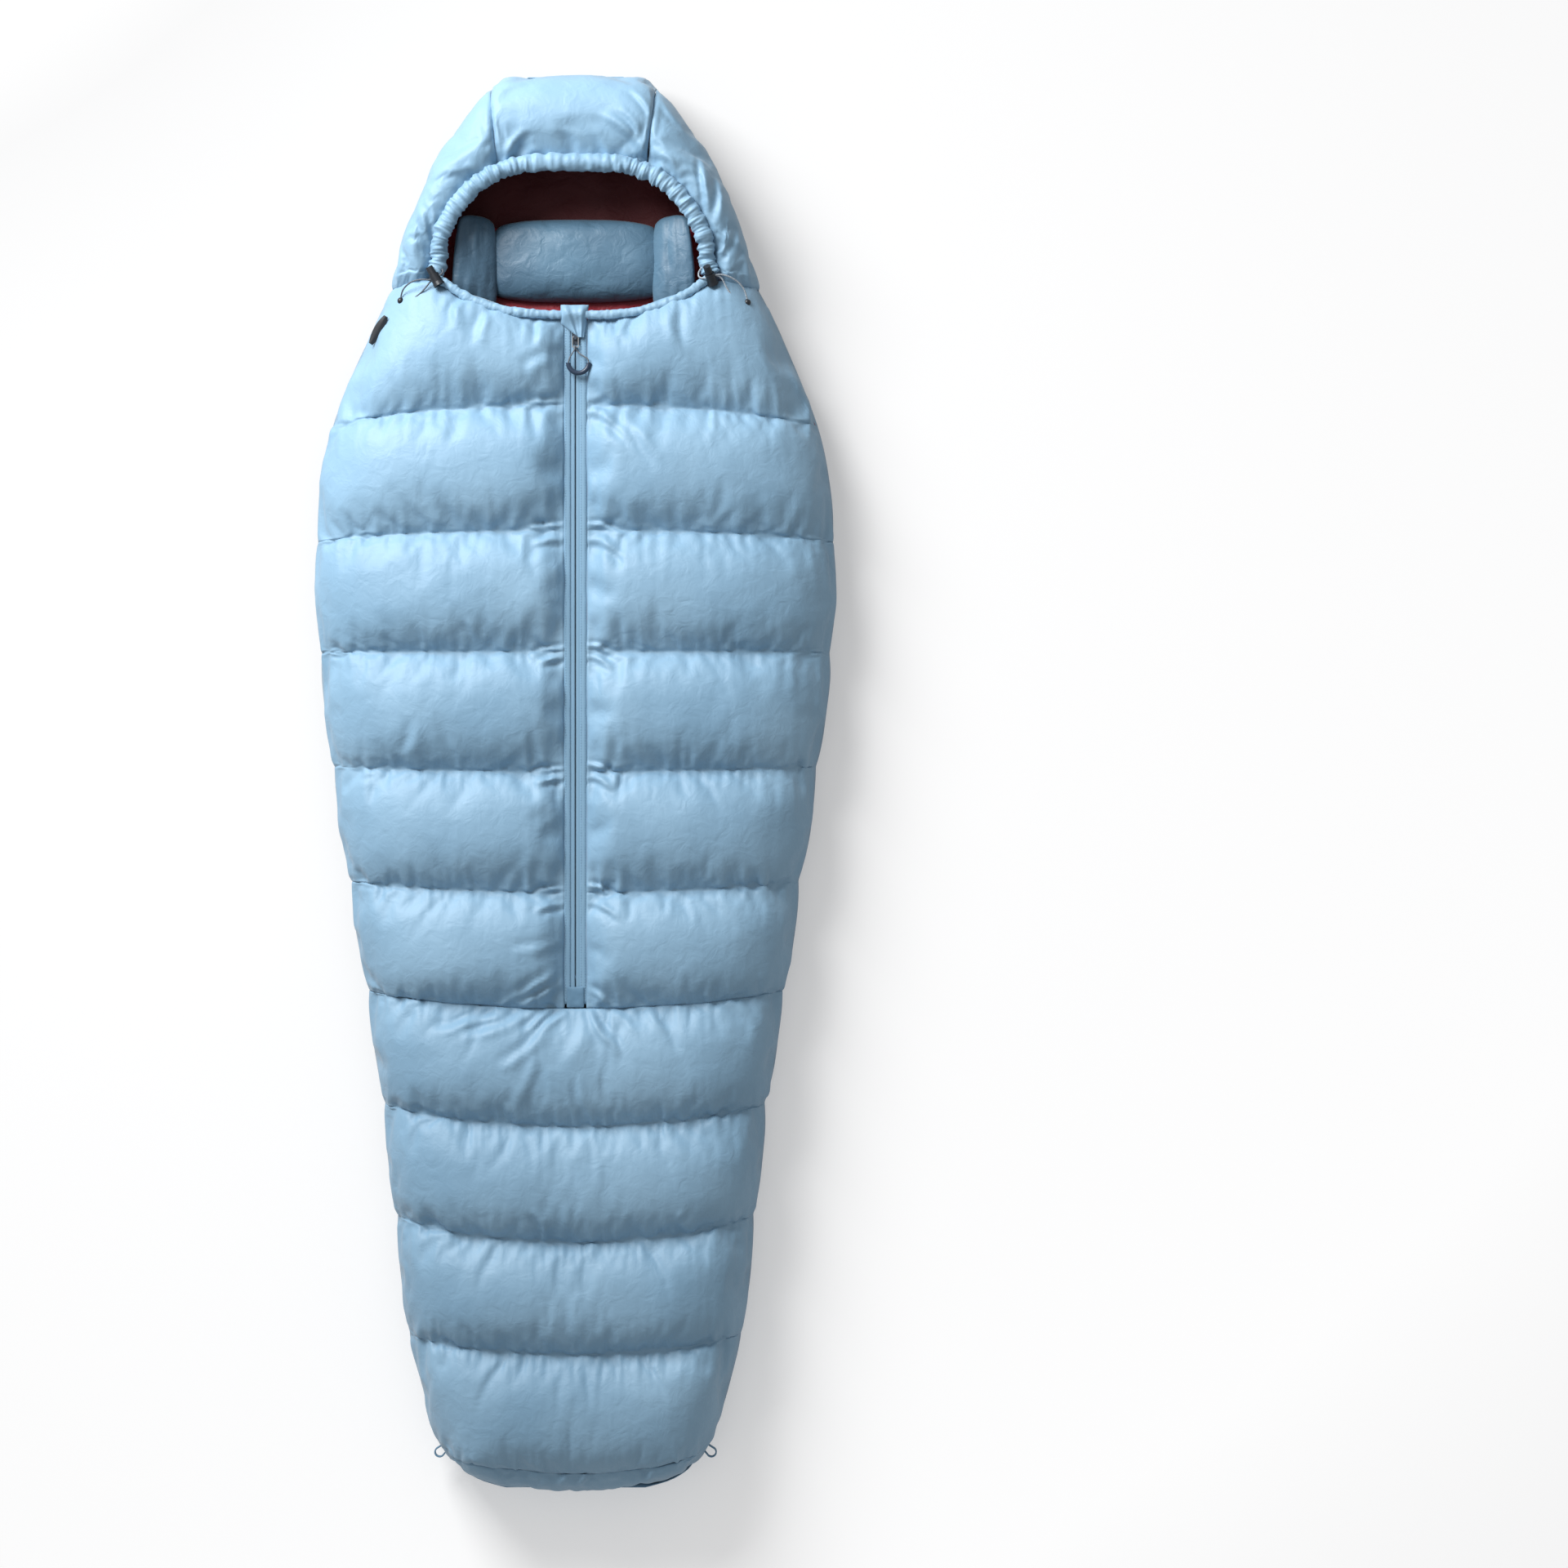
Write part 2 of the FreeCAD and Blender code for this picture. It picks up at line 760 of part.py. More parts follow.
plate_top = f"{size('tape_level')} + {tape} + {size('slider_play')} + {size('slider_plate')}"
plate_bottom = f"{coil_low} - {size('slider_play')} - {size('slider_plate')}"
tube_level = f"{plate_bottom} - 0.4 - {size('tube_height')}"
outline = block(zip_left, zip_right, f"{size('zip_bottom')} + 4", f"{size('zip_top')} - 4")
keep("draft_tube", slab("draft_tube", outline, tube_level, size("tube_height")))

garage_level = f"{plate_top} + {size('crown_height')} + 0.5"
garage_low = f"{size('slider_y')} + 7"
half_garage = f"({size('zip_half_width')} + 4)"
garage_y = (garage_low, f"{garage_low} + {size('garage_length')}")
garage_x = (f"{size('zip_centre')} - {half_garage}", f"{size('zip_centre')} + {half_garage}")
garage = slab(
    "zip_garage",
    block(*garage_x, *garage_y),
    f"{garage_level} - 1.4",
    f"{size('garage_cloth')} + 1.4",
)
garage_room = slab(
    "garage_hollow",
    block(f"{zip_left} - 0.6", f"{zip_right} + 0.6", f"{garage_low} - 1", f"{garage_y[1]} + 1"),
    f"{garage_level} - 2",
    "2",
)
hood_of_zip = doc.addObject("Part::Cut", "zip_garage_cut")
hood_of_zip.Base, hood_of_zip.Tool = garage, garage_room
keep("zip_garage", hood_of_zip)

# Slider: plates above and below the chain, joined by a post in the groove
slider_x = (
    f"{size('zip_centre')} - {size('slider_width')} / 2",
    f"{size('zip_centre')} + {size('slider_width')} / 2",
)
slider_y = (
    f"{size('slider_y')} - {size('slider_length')} / 2",
    f"{size('slider_y')} + {size('slider_length')} / 2",
)
post_x = (
    f"{size('zip_centre')} - {size('slider_post')} / 2",
    f"{size('zip_centre')} + {size('slider_post')} / 2",
)
crown_x = (
    f"{size('zip_centre')} - {size('crown_width')} / 2",
    f"{size('zip_centre')} + {size('crown_width')} / 2",
)
pivot_y = f"{size('slider_y')} + 2"
pivot_level = f"{plate_top} + {size('crown_height')} / 2 + 0.2"
crown_y = (f"{pivot_y} - {size('crown_length')} / 2", f"{pivot_y} + {size('crown_length')} / 2")
slider_parts = [
    slab("slider_top_plate", block(*slider_x, *slider_y), f"({plate_top}) - {size('slider_plate')}",
         size("slider_plate")),
    slab("slider_bottom_plate", block(*slider_x, *slider_y), plate_bottom, size("slider_plate")),
    slab("slider_post", block(*post_x, f"{size('slider_y')}", slider_y[1]), plate_bottom,
         f"({plate_top}) - ({plate_bottom})"),
    slab("slider_crown", block(*crown_x, *crown_y), f"({plate_top}) - 0.5",
         f"{size('crown_height')} + 0.5"),
]
solid_slider = doc.addObject("Part::MultiFuse", "slider_solid")
solid_slider.Shapes = slider_parts
bore = doc.addObject("Part::Cylinder", "slider_bore")
bore.setExpression("Radius", f"{size('crown_bore')} / 2")
bore.setExpression("Height", f"{size('crown_width')} + 2")
bore.Placement = Placement(Vector(), Rotation(Vector(0, 1, 0), 90))
bore.setExpression("Placement.Base.x", f"{crown_x[0]} - 1")
bore.setExpression("Placement.Base.y", pivot_y)
bore.setExpression("Placement.Base.z", pivot_level)
slider = doc.addObject("Part::Cut", "slider_body")
slider.Base, slider.Tool = solid_slider, bore
keep("slider_body", slider)

# Pull tab: a wire frame whose short side is the pin in the slider's crown
bar = size("tab_bar")
half_tab = f"{size('tab_width')} / 2"
tab_x = (f"{size('zip_centre')} - {half_tab}", f"{size('zip_centre')} + {half_tab}")
tab_y = (f"{pivot_y} - {size('tab_reach')} - {bar} / 2", f"{pivot_y} + {bar} / 2")
tab_level = f"({pivot_level}) - {bar} / 2"
tab = slab("pull_tab", block(*tab_x, *tab_y), tab_level, bar)
pocket(
    tab,
    "pull_tab",
    block(f"{tab_x[0]} + {bar}", f"{tab_x[1]} - {bar}", f"{tab_y[0]} + {bar}", f"{tab_y[1]} - {bar}"),
    f"{tab_level} + {bar}",
    bar,
)
keep("pull_tab", tab)

# Pull: a limp cord round the tab's far side, and the crescent grip that it carries
pull_route = [
    Vector(-6.0, 617.3, 117.5),
    Vector(-4.6, 624.5, 117.0),
    Vector(-0.4, 631.0, 115.4),
    Vector(3.2, 637.2, 113.8),
    Vector(3.8, 643.4, 113.3),
    Vector(4.2, 643.4, 108.5),
    Vector(4.9, 637.2, 109.0),
    Vector(10.0, 631.5, 112.0),
    Vector(17.6, 626.2, 115.4),
    Vector(23.2, 623.2, 117.2),
    Vector(24.0, 617.3, 117.5),
]
pull_width = worth(size("pull_cord_width"))
keep("pull_cord", plain("pull_cord", cord_tube("pull_cord", pull_route, pull_width)))
grip = doc.addObject("Part::Torus", "pull_grip")
grip.Radius1 = 15.0
grip.Radius2 = 3.6
grip.setExpression("Radius1", f"({size('grip_width')} - {size('grip_thickness')}) / 2")
grip.setExpression("Radius2", f"{size('grip_thickness')} / 2")
grip.Angle3 = 180
grip.Placement = Placement(Vector(9, 617, 117.5), Rotation(Vector(0, 0, 1), 180))
keep("pull_grip", grip)

# Cord locks: a barrel with a sprung plunger and a hole across both for the cords


def turned(name, width, start, length, taper=None):
    """A round solid on the lock's own axis, from a place along it."""
    kind = "Part::Cylinder" if taper is None else "Part::Cone"
    item = doc.addObject(kind, name)
    if taper is None:
        item.setExpression("Radius", f"({width}) / 2")
    else:
        item.setExpression("Radius1", f"({width}) / 2")
        item.setExpression("Radius2", f"({taper}) / 2")
    item.setExpression("Height", str(length))
    item.setExpression("Placement.Base.z", str(start))
    return item


def crossing(name, width, low, high, long):
    """A straight square passage across the lock's axis, for the cord."""
    item = doc.addObject("Part::Box", name)
    item.setExpression("Length", str(long))
    item.setExpression("Width", str(width))
    item.setExpression("Height", f"({high}) - ({low})")
    item.setExpression("Placement.Base.x", f"-({long}) / 2")
    item.setExpression("Placement.Base.y", f"-({width}) / 2")
    item.setExpression("Placement.Base.z", str(low))
    return item


def cord_lock(word, base, axis, across):
    """One cord lock: its barrel, plunger and spring, set on the hood."""
    seat = Placement(base, Rotation(across, Vector(), axis, "ZXY"))
    reach, floor = size("lock_length"), size("lock_floor")
    shell = doc.addObject("Part::MultiFuse", f"lock_shell_{word}")
    shell.Shapes = [
        turned(f"lock_barrel_{word}", size("lock_width"), "0", reach),
        turned(f"lock_flange_{word}", size("lock_flange"), "0", size("lock_flange_length"),
               taper=size("lock_width")),
    ]
    low = f"{size('lock_hole_at')} - {size('lock_hole')} / 2"
    high = f"{size('lock_hole_at')} + {size('lock_hole')} / 2"
    hollow = doc.addObject("Part::MultiFuse", f"lock_hollow_{word}")
    hollow.Shapes = [
        turned(f"lock_bore_{word}", size("lock_bore"), floor, f"{reach} - {floor} + 1"),
        crossing(f"lock_cross_{word}", size("lock_hole"), low, high, f"{size('lock_flange')} + 4"),
    ]
    barrel = doc.addObject("Part::Cut", f"cord_lock_{word}")
    barrel.Base, barrel.Tool = shell, hollow
    barrel.Placement = seat
    keep(f"cord_lock_{word}", barrel)

    foot = f"{floor} + {size('spring_length')} + 0.2"
    stem_width = f"{size('lock_bore')} - 2 * {size('plunger_play')}"
    stem = turned(f"plunger_stem_{word}", stem_width, foot, f"{size('plunger_reach')} - ({foot})")
    slot = crossing(f"plunger_slot_{word}", size("lock_hole"), low,
                    f"{high} + {size('plunger_travel')}", f"{size('lock_flange')} + 4")
    plunger = doc.addObject("Part::Cut", f"cord_lock_plunger_{word}")
    plunger.Base, plunger.Tool = stem, slot
    plunger.Placement = seat
    keep(f"cord_lock_plunger_{word}", plunger)

    coil = doc.addObject("Part::Cut", f"cord_lock_spring_{word}")
    coil.Base = turned(f"spring_outside_{word}", f"{stem_width} - 1", floor, size("spring_length"))
    coil.Tool = turned(f"spring_inside_{word}", f"{stem_width} - 1 - 2 * {size('spring_wire')}",
                       f"{floor} - 1", f"{size('spring_length')} + 2")
    coil.Placement = seat
    keep(f"cord_lock_spring_{word}", coil)
    return seat


left_axis = Vector(-15.5, 26.5, 0).normalize()
left_across = Vector(0, 0, 1).cross(left_axis)
left_seat = cord_lock("left", Vector(-195.5, 731.5, 116.5), left_axis, left_across)
right_axis = Vector(-0.30, 0.75, 0.59).normalize()
right_across = right_axis.cross(Vector(0, 0, 1)).normalize()
right_seat = cord_lock("right", Vector(206.5, 735.0, 108.0), right_axis, right_across)

# Free ends of the drawcord: out of the hem, through the lock, round to a ball and back
TAILS = {
    "left": [
        [
            (-197.2, 764.4, 104.6),
            (-192.6, 757.4, 108.0),
            (-190.2, 750.4, 114.6),
            (-195.0, 745.6, 117.9),
            (-208.2, 738.2, 117.9),
            (-222.0, 740.4, 116.4),
            (-236.0, 737.6, 112.6),
            (-246.4, 731.4, 106.4),
            (-252.8, 723.6, 100.4),
        ],
        [
            (-197.6, 744.1, 115.2),
            (-208.2, 738.2, 115.2),
            (-216.6, 727.4, 112.4),
            (-226.2, 718.2, 108.6),
            (-237.4, 712.2, 104.4),
        ],
    ],
    "right": [
        [
            (197.2, 764.4, 104.6),
            (190.6, 759.4, 106.0),
            (185.4, 752.4, 109.0),
            (184.9, 743.4, 113.8),
            (194.1, 740.5, 116.4),
            (211.7, 747.5, 116.4),
            (223.4, 746.8, 114.6),
            (235.0, 742.6, 111.0),
            (246.2, 735.2, 105.8),
            (254.0, 724.6, 100.6),
        ],
        [
            (197.0, 741.7, 113.7),
            (211.7, 747.5, 113.7),
            (220.2, 741.6, 112.4),
            (224.6, 731.6, 110.6),
            (231.4, 720.6, 107.6),
            (240.6, 711.8, 104.0),
        ],
    ],
}
BALLS = {"left": Vector(-254.6, 711.0, 96.0), "right": Vector(257.0, 708.6, 96.0)}
cord_width = worth(size("drawcord_width"))
for word, strands in TAILS.items():
    centre = BALLS[word]
    ball_reach = worth(size("ball_width")) / 2
    solids = []
    for count, strand in enumerate(strands):
        route = [Vector(*point) for point in strand]
        last = Vector(route[-1] - centre).normalize()
        route.append(centre + last * ball_reach)
        solids.append(cord_tube(f"drawcord_tail_{word}_{count + 1}", route, cord_width))
    keep(f"drawcord_tail_{word}", plain(f"drawcord_tail_{word}", Part.makeCompound(solids)))
    ball = doc.addObject("Part::Sphere", f"cord_end_ball_{word}")
    ball.setExpression("Radius", f"{size('ball_width')} / 2")
    ball.Placement = Placement(centre, Rotation())
    keep(f"cord_end_ball_{word}", ball)

# Hang loops on the corners of the foot
loops = []
for word, side in (("left", -1), ("right", 1)):
    corner_low = (size("foot_half"), size("foot_5_y"))
    corner_high = (size("seam_10_half"), f"{size('seam_10_y')} + {size('seam_10_rise')}")
    outer = slab(
        f"hang_loop_{word}",
        block("0.3", size("loop_reach"), f"-{size('loop_width')} / 2", f"{size('loop_width')} / 2"),
        size("back_loft"),
        size("loop_webbing"),
    )
    eye_width = f"{size('loop_eye')} / 2"
    pocket(
        outer,
        f"hang_loop_{word}",
        block(f"{size('loop_reach')} - 3 - {size('loop_eye')}", f"{size('loop_reach')} - 3",
              f"-{eye_width}", eye_width),
        f"{size('back_loft')} + {size('loop_webbing')}",
        size("loop_webbing"),
    )
    middle_x, middle_y = mix(corner_low[0], corner_high[0], 0.5), mix(corner_low[1], corner_high[1], 0.5)
    edge_x = worth(corner_high[0]) - worth(corner_low[0])
    edge_y = worth(corner_high[1]) - worth(corner_low[1])
    lean = math.degrees(math.atan2(-edge_x, edge_y))
    outer.Placement = Placement(
        Vector(side * worth(middle_x), worth(middle_y), 0),
        Rotation(Vector(0, 0, 1), lean if side > 0 else 180 - lean),
    )
    loops.append(outer)
group("hang_loops", loops)

# Check every object, then write the pieces
doc.recompute()
for item in doc.Objects:
    if {"Invalid", "Error"} & set(item.State):
        raise ValueError(f"{item.Label}: {item.State}")
os.makedirs("parts", exist_ok=True)
for name, item in pieces.items():
    shape = item.Shape
    if shape.isNull() or not shape.isValid() or not shape.Solids:
        raise ValueError(f"{name} is not a valid solid")
    shape.exportStep(f"parts/{name}.step")
print(len(pieces), "pieces,", f"{sum(item.Shape.Volume for item in pieces.values()) / 1e9:.4f} m3")
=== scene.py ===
import math

import bpy
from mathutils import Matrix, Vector, noise


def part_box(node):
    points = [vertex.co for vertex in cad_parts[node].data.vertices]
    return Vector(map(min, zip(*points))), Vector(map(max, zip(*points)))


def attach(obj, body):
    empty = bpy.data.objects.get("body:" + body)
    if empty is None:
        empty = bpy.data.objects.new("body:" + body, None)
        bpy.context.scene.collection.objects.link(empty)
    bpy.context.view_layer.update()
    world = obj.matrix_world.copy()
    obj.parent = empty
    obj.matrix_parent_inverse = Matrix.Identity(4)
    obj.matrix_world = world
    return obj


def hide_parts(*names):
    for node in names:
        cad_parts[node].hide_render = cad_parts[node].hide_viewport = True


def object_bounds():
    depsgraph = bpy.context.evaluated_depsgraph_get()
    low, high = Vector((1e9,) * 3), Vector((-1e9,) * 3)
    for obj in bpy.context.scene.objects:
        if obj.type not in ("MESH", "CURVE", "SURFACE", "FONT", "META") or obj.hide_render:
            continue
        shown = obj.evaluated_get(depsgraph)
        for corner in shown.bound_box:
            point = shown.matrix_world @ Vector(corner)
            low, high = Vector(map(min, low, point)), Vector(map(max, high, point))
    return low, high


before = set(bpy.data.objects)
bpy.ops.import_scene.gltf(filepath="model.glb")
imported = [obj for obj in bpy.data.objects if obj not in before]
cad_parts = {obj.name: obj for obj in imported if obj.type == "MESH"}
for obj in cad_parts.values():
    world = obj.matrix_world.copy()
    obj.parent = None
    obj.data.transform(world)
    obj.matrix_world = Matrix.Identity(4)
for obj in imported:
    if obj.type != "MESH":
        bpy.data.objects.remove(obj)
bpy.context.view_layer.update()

# ---------------------------------------------------------------------------
# Camera: straight above the bag, which lies on its back, with a long lens and
# room for the shadow on the right.
camera_height, view_width, sensor_width = 5.5, 2.332, 36.0
camera_data = bpy.data.cameras.new("camera")
camera_data.sensor_width = sensor_width
camera_data.lens = sensor_width * (camera_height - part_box("zip_tape_left")[1][2] / 2) / view_width
camera = bpy.data.objects.new("camera", camera_data)
camera.location = (0.311, -0.002, camera_height)
bpy.context.scene.collection.objects.link(camera)
bpy.context.scene.camera = camera
bpy.context.scene.view_settings.view_transform = "Standard"

# ---------------------------------------------------------------------------
# Cords: braided elastic cord, 2.4 mm, which closes the hood and ends in a ball
# beside each cord lock, and a thinner braided cord from the zip's tab to its grip.


def linear(code):
    """An sRGB hex colour as the linear colour that a shader socket takes."""
    parts = [int(code[i:i + 2], 16) / 255 for i in (1, 3, 5)]
    return tuple(c / 12.92 if c < 0.04045 else ((c + 0.055) / 1.055) ** 2.4 for c in parts) + (1.0,)


def add(tree, kind, links=(), **settings):
    """Add a node, set its properties and its inputs, and link what feeds it."""
    made = tree.nodes.new(kind)
    for key, value in settings.items():
        setattr(made, key, value)
    for socket, source in dict(links).items():
        if isinstance(source, bpy.types.NodeSocket):
            tree.links.new(source, made.inputs[socket])
        else:
            made.inputs[socket].default_value = source
    return made


def new_material(name, constants):
    """A material with one Principled shader, and its constants on their sockets."""
    material = bpy.data.materials.new(name)
    material.use_nodes = True
    shader = material.node_tree.nodes["Principled BSDF"]
    for socket, value in constants.items():
        shader.inputs[socket].default_value = value
    return material, material.node_tree, shader


def two_tones(tree, dark, light, factor, low=0.35, high=0.65):
    """A colour that runs from dark to light as the factor does."""
    ramp = add(tree, "ShaderNodeValToRGB", {"Fac": factor})
    ramp.color_ramp.elements[0].position, ramp.color_ramp.elements[1].position = low, high
    ramp.color_ramp.elements[0].color, ramp.color_ramp.elements[1].color = linear(dark), linear(light)
    return ramp.outputs["Color"]


def braided_cord(name, dark, light):
    """Braided polyester over elastic: short slanting stitches of 1.1 mm, a soft sheen."""
    material, tree, shader = new_material(name, {"Roughness": 0.55, "Sheen Weight": 0.3})
    place = add(tree, "ShaderNodeTexCoord").outputs["Object"]
    stitches = add(tree, "ShaderNodeTexVoronoi", {"Vector": place, "Scale": 1 / 0.0011})
    colours = two_tones(tree, dark, light, stitches.outputs["Distance"], 0.1, 0.7)
    tree.links.new(colours, shader.inputs["Base Color"])
    relief = add(tree, "ShaderNodeBump", {"Height": stitches.outputs["Distance"],
                                          "Strength": 0.5, "Distance": 0.0004})
    tree.links.new(relief.outputs["Normal"], shader.inputs["Normal"])
    return material


dark_cord = braided_cord("braided_elastic_cord_navy", "#20262e", "#59616b")
grey_cord = braided_cord("braided_elastic_cord_grey", "#4a545f", "#aab4bd")


def cord_curve(name, route, diameter, material):
    """A cord as one smooth NURBS spline through the places its route is pulled to."""
    curve = bpy.data.curves.new(name, "CURVE")
    curve.dimensions = "3D"
    curve.bevel_depth, curve.bevel_resolution, curve.resolution_u = diameter / 2, 3, 12
    curve.use_fill_caps = True
    spline = curve.splines.new("NURBS")
    spline.points.add(len(route) - 1)
    for point, place in zip(spline.points, route):
        point.co = tuple(value / 1000 for value in place) + (1.0,)
    spline.order_u = 3
    spline.use_endpoint_u = True
    curve.materials.append(material)
    piece = bpy.data.objects.new(name, curve)
    bpy.context.scene.collection.objects.link(piece)
    return piece


drawcord_width, pull_cord_width = 0.0024, 0.002
# The strands leave the cord locks, rise over the lock's edge and lie down on the shoulders.
left_long = [(-197.2, 764.4, 104.6), (-192.6, 757.4, 108), (-190.2, 750.4, 114.6),
             (-195, 745.6, 117.9), (-208.2, 738.2, 117.9), (-222, 740.4, 116.4),
             (-236, 737.6, 112.6), (-246.4, 731.4, 106.4), (-252.8, 723.6, 100.4),
             (-254.2, 716, 97.2)]
left_short = [(-197.6, 744.1, 115.2), (-208.2, 738.2, 115.2), (-216.6, 727.4, 112.4),
              (-226.2, 718.2, 108.6), (-237.4, 712.2, 104.4), (-249.8, 711.4, 97.6)]
right_long = [(197.2, 764.4, 104.6), (190.6, 759.4, 106), (185.4, 752.4, 109),
              (184.9, 743.4, 113.8), (194.1, 740.5, 116.4), (211.7, 747.5, 116.4),
              (223.4, 746.8, 114.6), (235, 742.6, 111), (246.2, 735.2, 105.8),
              (254, 724.6, 100.6), (256.4, 713.4, 97.4)]
right_short = [(197, 741.7, 113.7), (211.7, 747.5, 113.7), (220.2, 741.6, 112.4),
               (224.6, 731.6, 110.6), (231.4, 720.6, 107.6), (240.6, 711.8, 104),
               (252.2, 709, 97.8)]
for side, strands in (("left", (("long", left_long, 0.1024), ("short", left_short, 0.067))),
                      ("right", (("long", right_long, 0.1195), ("short", right_short, 0.0759)))):
    for word, route, length in strands:
        strand = cord_curve(f"drawcord_{side}_{word}", route, drawcord_width,
                            dark_cord if side == "left" else grey_cord)
        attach(strand, "bag")
        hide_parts(f"drawcord_tail_{side}")

pull_route = [(-6, 617.3, 117.5), (-4.6, 624.5, 117), (-0.4, 631, 115.4), (3.2, 637.2, 113.8),
              (3.8, 643.4, 113.3), (4.2, 643.4, 108.5), (4.9, 637.2, 109), (10, 631.5, 112),
              (17.6, 626.2, 115.4), (23.2, 623.2, 117.2), (24, 617.3, 117.5)]
pull_cord = cord_curve("zip_pull_cord", pull_route, pull_cord_width, dark_cord)
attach(pull_cord, "cord_pull")
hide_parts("pull_cord")

# ---------------------------------------------------------------------------
# Front shell: calendered nylon taffeta over down. Each side of the zip is one
# cloth, sewn down along curved seams into chambers, and below the zip one cloth
# goes from side to side. The filling lifts it, and the seams gather it.


def woven_nylon(name, dark, light, roughness, sheen, crinkle):
    """Calendered nylon: a plain weave with a soft gloss, crinkled where it was sewn.

    The threads are 0.15 mm apart, too fine to show, so the weave is drawn at 1.2 mm.
    """
    material, tree, shader = new_material(name, {"Roughness": roughness, "Sheen Weight": sheen,
                                                 "Sheen Roughness": 0.4})
    place = add(tree, "ShaderNodeTexCoord").outputs["Object"]
    patches = add(tree, "ShaderNodeTexNoise", {"Vector": place, "Scale": 1 / 0.16, "Detail": 3.0})
    colours = two_tones(tree, dark, light, patches.outputs["Fac"], 0.3, 0.7)
    tree.links.new(colours, shader.inputs["Base Color"])
    warp = add(tree, "ShaderNodeTexWave", {"Vector": place, "Scale": 0.314 / 0.0012},
               bands_direction="X")
    weft = add(tree, "ShaderNodeTexWave", {"Vector": place, "Scale": 0.314 / 0.0012},
               bands_direction="Y")
    threads = add(tree, "ShaderNodeMath", {0: warp.outputs["Fac"], 1: weft.outputs["Fac"]},
                  operation="ADD")
    creases = add(tree, "ShaderNodeTexNoise", {"Vector": place, "Scale": 1 / 0.022,
                                               "Detail": 5.0, "Distortion": 0.6})
    weave = add(tree, "ShaderNodeBump", {"Height": threads.outputs[0], "Strength": 0.12,
                                         "Distance": 0.0003})
    relief = add(tree, "ShaderNodeBump", {"Height": creases.outputs["Fac"], "Strength": crinkle,
                                          "Distance": 0.006, "Normal": weave.outputs["Normal"]})
    tree.links.new(relief.outputs["Normal"], shader.inputs["Normal"])
    return material


shell_cloth = woven_nylon("calendered_nylon_taffeta_blue", "#779bb5", "#86a9c2", 0.55, 0.15, 0.28)

# Each seam: its place at the zip, its rise at the side and the half width there, in mm.
SEAMS = [(684, 58, 272), (557, -27, 367), (372, -14, 389), (193, 0, 384), (16, 8, 364),
         (-162, 16, 338), (-333, 24, 313), (-506, 29, 288), (-676, 33, 270), (-840, 22, 252),
         (-1016, 30, 205)]
zip_centre, zip_half = 4.0, 16.0
side_level, body_loft, foot_loft = 34.3, 125.0, 138.0
valley_depth, pinch, pinch_reach = 16.0, 7.0, 4.0
zip_edge_level = 107.6
step = 7.0
last_upper = 6


def mix(a, b, share):
    return a + (b - a) * share


def rise_share(share, neck):
    """How far up its rise a seam has come, a share of the way out to the side."""
    table = ((0, 0, 0), (0.16, 0.03, 0.03), (0.55, 0.3, 0.62), (0.82, 0.67, 1), (0.95, 0.9, 1),
             (1, 1, 1))
    for low, high in zip(table, table[1:]):
        if share <= high[0]:
            way = (share - low[0]) / (high[0] - low[0])
            column = 2 if neck else 1
            return mix(low[column], high[column], way * way * (3 - 2 * way) * 0.4 + way * 0.6)
    return 1.0


def seam_place(number, share):
    """Y of a seam at a share of the way out, and the half width there."""
    y, rise, half = SEAMS[number]
    return y + rise * rise_share(share, number == 0), half


def seam_strength(number, share):
    """How hard a seam pulls in: the last one is short, and ends before the sides."""
    if number < 10:
        return 1.0
    return 1 - max(0.0, min(1.0, (share - 0.45) / 0.3))


def front_point(number, way, share, side, inner):
    """A point of the front cloth: in a chamber, a way down it, a share of the way out."""
    top_y, top_half = seam_place(number, share)
    low_y, low_half = seam_place(number + 1, share)
    fullness = 1 - abs(2 * way - 1) ** 2.6
    half = mix(top_half, low_half, way) - 5 + 6 * fullness
    lean = (share ** 6) * 0.5
    x = mix(zip_centre + side * inner, side * half, share)
    y = mix(top_y, low_y, way)
    loft = mix(body_loft, foot_loft, max(0, min(1, (number - 5 + way) / 4))) + 4
    shape = (1 - share ** 5) ** 0.6 if share < 1 else 0.0
    if inner > 0:
        shape *= 1 - 0.12 * math.exp(-share * share / 0.004)
    strength = seam_strength(number + (way > 0.5), share)
    from_seam = min(way, 1 - way) * (top_y - low_y)
    at_zip = math.exp(-share / 0.035) if inner > 0 else 0.0
    valley = valley_depth * (1 - fullness) * strength + pinch * math.exp(-from_seam / pinch_reach)
    level = mix(side_level, loft, shape) - valley * shape * (1 - lean)
    return Vector((x, y, mix(level, zip_edge_level, at_zip)))


def chamber_rows(first, last):
    """Every row of the cloth as (chamber, way down it), closer together near the seams."""
    rows = []
    for number in range(first, last):
        count = round((SEAMS[number][0] - SEAMS[number + 1][0]) / step)
        rows += [(number, i / count - 0.1 * math.sin(2 * math.pi * i / count))
                 for i in range(count)]
    return rows + [(last - 1, 1.0)]


def cloth_grid(name, points, held, near, material, wrap=False):
    """A mesh of squares from rows of points in mm, with its held and gathered places."""
    rows, columns = len(points), len(points[0])
    mesh = bpy.data.meshes.new(name)
    corners = [tuple(value / 1000 for value in point) for row in points for point in row]
    faces = []
    for i in range(rows - 1):
        for j in range(columns - (0 if wrap else 1)):
            k = (j + 1) % columns
            faces.append((i * columns + j, (i + 1) * columns + j, (i + 1) * columns + k,
                          i * columns + k))
    mesh.from_pydata(corners, [], faces)
    mesh.materials.append(material)
    piece = bpy.data.objects.new(name, mesh)
    bpy.context.scene.collection.objects.link(piece)
    for word, weights in (("held", held), ("gathered", near)):
        group = piece.vertex_groups.new(name=word)
        flat = [weight for row in weights for weight in row]
        for index, weight in enumerate(flat):
            if weight > 0.01:
                group.add([index], min(1.0, weight), "REPLACE")
    return piece


